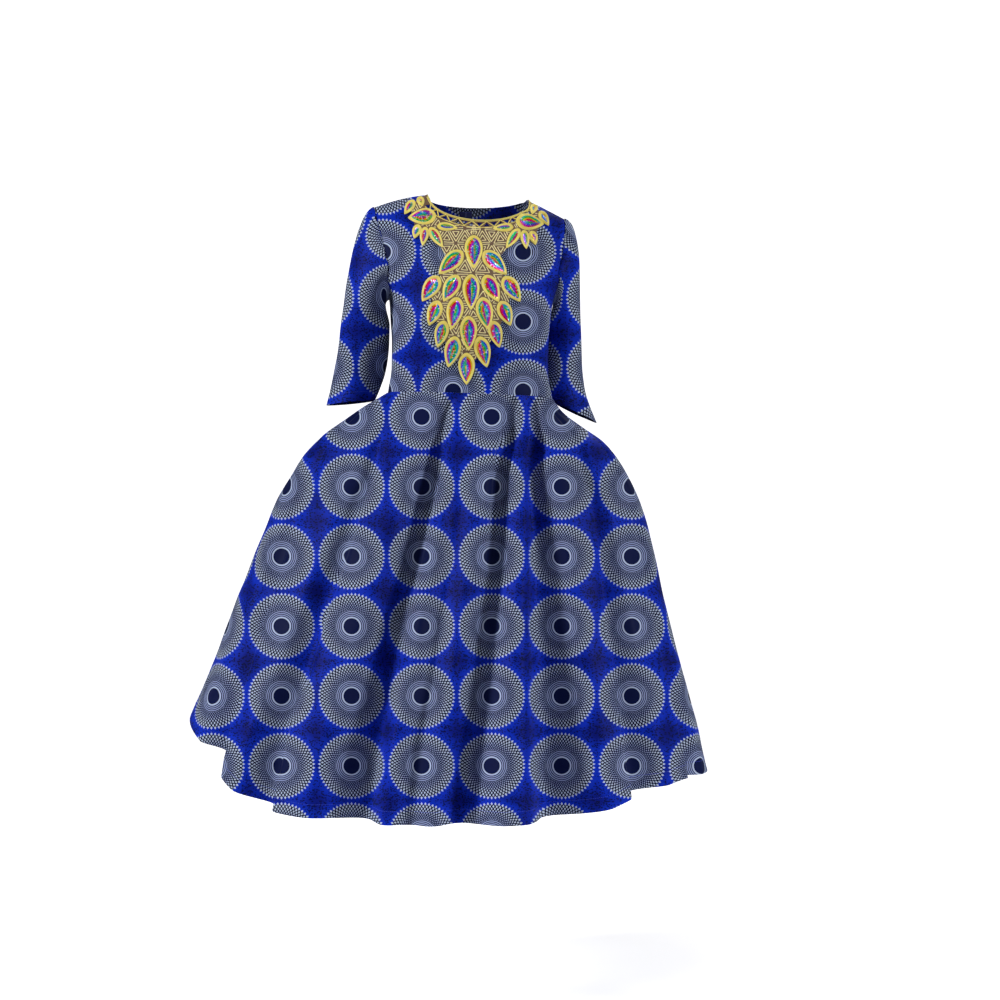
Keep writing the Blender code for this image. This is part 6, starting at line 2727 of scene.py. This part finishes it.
SLEEVE_LEFT: tuple[Row, ...] = (
    (-0.252, -0.2680, -0.1765, -0.004, 0.054),
    (-0.283, -0.2725, -0.1775, 0.006, 0.053),
    (-0.314, -0.2775, -0.1805, 0.014, 0.052),
    (-0.345, -0.2840, -0.1860, 0.018, 0.052),
    (-0.376, -0.2910, -0.1960, 0.014, 0.051),
    (-0.4015, -0.2970, -0.2055, 0.006, 0.050),
)
SLEEVE_RIGHT: tuple[Row, ...] = (
    (-0.252, 0.1960, 0.1270, 0.060, 0.054),
    (-0.290, 0.1980, 0.1260, 0.070, 0.053),
    (-0.325, 0.1990, 0.1250, 0.075, 0.053),
    (-0.360, 0.2035, 0.1260, 0.072, 0.052),
    (-0.392, 0.2130, 0.1320, 0.062, 0.050),
    (-0.419, 0.2270, 0.1450, 0.050, 0.048),
)


class Dress:
    """Builds every visible piece and ties it to the construction."""

    # Stitch lines: how far above a skirt's and a sleeve's hem, and how far in beside slits and the zip
    SKIRT_HEM = 0.025
    SLEEVE_HEM = 0.020
    EDGE_SEAM = 0.006
    # Panels with stitches up an edge, and that edge's column
    EDGE_SEAMS = (
        ("skirt_front", 0),
        ("skirt_front", -1),
        ("skirt_back_left", -1),
        ("skirt_back_right", 0),
        ("bodice_back_left", 0),
        ("bodice_back_right", -1),
        ("skirt_back_left", 0),
        ("skirt_back_right", -1),
    )

    def __init__(self) -> None:
        """Readies the form and the finishes."""
        self.form = DressForm(DressSizes())
        self.layout = Panels(self.form)
        self.cloth = WaxPrint().build()
        self.panels: dict[str, ClothPanel] = {}
        self.sheets: dict[str, Piece] = {}

    @staticmethod
    def keep(made: Piece, slot: Slot, *nodes: str) -> Piece:
        """Ties a piece to the dress and hides the nodes that it stands for.

        Args:
            made: the piece.
            slot: not used.
            nodes: the nodes it replaces.

        Returns:
            The piece.
        """
        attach(made, "dress")
        if nodes:
            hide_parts(*nodes)
        LOG.info("%s: %d faces", made.name, len(made.data.polygons))
        return made

    def lay_out(self) -> None:
        """Lays out the panels and presses in their creases."""
        layout = self.layout
        front = self.panels["bodice_front"] = layout.bodice_front()
        backs = {side: layout.bodice_back(side) for side in Side}
        for side, back in backs.items():
            self.panels[f"bodice_back_{side.word}"] = back
        # Each sleeve's table, and its cuff's slope
        arms = {Side.LEFT: (SLEEVE_LEFT, 0.11), Side.RIGHT: (SLEEVE_RIGHT, -0.50)}
        for side, (table, tilt) in arms.items():
            sleeve = layout.sleeve(side, front.grid, backs[side].grid, table, tilt)
            self.panels[f"sleeve_{side.word}"] = sleeve
        print_front = PrintPlace(-0.5209, -0.42874, stretch=4.0)
        self.panels["skirt_front"] = layout.skirt("skirt_front_cloth", FRONT_FOLDS, -90, 90, 0, print_front)
        halves = ((Side.RIGHT, BACK_RIGHT_FOLDS, 90, 1.0), (Side.LEFT, BACK_LEFT_FOLDS, 180, 0.0))
        for side, folds, low, centre in halves:
            name = f"skirt_back_{side.word}"
            place = PrintPlace(-0.0211, -0.42874, False, centre, 1.0)
            self.panels[name] = layout.skirt(f"{name}_cloth", folds, low, low + 90, side.value, place)
        for name, panel in self.panels.items():
            panel.crease(CREASES[name])
            LOG.info("%s: laid out, %.4f square metres", name, panel.area())

    def build_cloth(self) -> None:
        """Makes the panels and pocket bags."""
        for name, panel in self.panels.items():
            self.sheets[name] = self.keep(panel.build(self.cloth), Slot.COTTON, name)
        for side in Side:
            front, back = self.panels["skirt_front"], self.panels[f"skirt_back_{side.word}"]
            bag = Pocket(side, front, back, self.layout.skirt_shares())
            name = f"pocket_{side.word}"
            self.sheets[name] = self.keep(bag.build(self.cloth), Slot.COTTON, name)

    def build_applique(self) -> list[Piece]:
        """Makes the neck applique.

        Returns:
            Its pieces.
        """
        applique = NeckApplique(self.form, self.panels["bodice_front"])
        # The tulle's openings are coloured as the bare skin seen through the net, darkened with painted shade
        net = Net("knotted tulle ground", "#8C6E58", "#46322A", 1.5, 0.40).build()
        bed = Net("satin-stitched gold ground", "#FFE462", "#DAA440", 1.2, 0.16).build()
        # Each cord's two golds are its twist's painted highlight and painted shade
        gold = Cord("gold-wrapped twisted cord", "#FFFAA0", "#FFE45A").build()
        pale = Cord("pale gold fine cord", "#FFFBD0", "#FFE89A", 1.6).build()
        foil = Foil()
        return [
            self.keep(applique.build_ground(net, bed), Slot.LACE, "neck_applique"),
            self.keep(applique.build_cords(gold), Slot.LACE),
            self.keep(applique.build_fretwork(pale), Slot.LACE),
            self.keep(applique.build_sequins(foil.build(), len(foil.colours), foil.hues), Slot.LACE),
        ]

    def build_sewing(self) -> None:
        """Makes the stitches."""
        sewing = Sewing()
        for name in ("skirt_front", "skirt_back_left", "skirt_back_right"):
            sewing.along_row(self.panels[name], self.SKIRT_HEM)
        for name in ("sleeve_left", "sleeve_right"):
            sewing.along_row(self.panels[name], self.SLEEVE_HEM)
        for name, column in self.EDGE_SEAMS:
            panel = self.panels[name]
            last = len(panel.grid) - 1
            low = last - Zip.SKIRT_END * Panels.SKIRT_FINE_ROWS if name.startswith("skirt") else 1
            sewing.along_column(panel, column, self.EDGE_SEAM, low, last)
        thread = Plain("blue polyester thread", "#2A3FD0", 0.45).build()
        self.keep(sewing.build(thread), Slot.COTTON)

    def build_zip(self) -> None:
        """Finishes the zip."""
        woven = Plain("woven polyester tape", "#10195E", 0.75).build()
        painted = Plain("blue enamelled zinc", "#16226E", 0.32, 0.6).build()
        nylon = Plain("moulded nylon coil", "#18246F", 0.4).build()
        self.keep(Zip(self.form).build_teeth(nylon), Slot.TAPE)
        for name, finish, bevel, slot in (
            ("zip_tape", woven, 0.0, Slot.TAPE),
            ("zip_slider", painted, Zip.BEVEL, Slot.METAL),
            ("zip_pull", painted, Zip.BEVEL, Slot.METAL),
        ):
            Zip.finish_node(name, finish, bevel)


def main() -> None:
    """Builds the dress and the studio in order."""
    dress = Dress()
    dress.lay_out()
    dress.build_cloth()
    applique = dress.build_applique()
    dress.build_sewing()
    dress.build_zip()
    Studio().build()


if __name__ == "__main__":
    main()
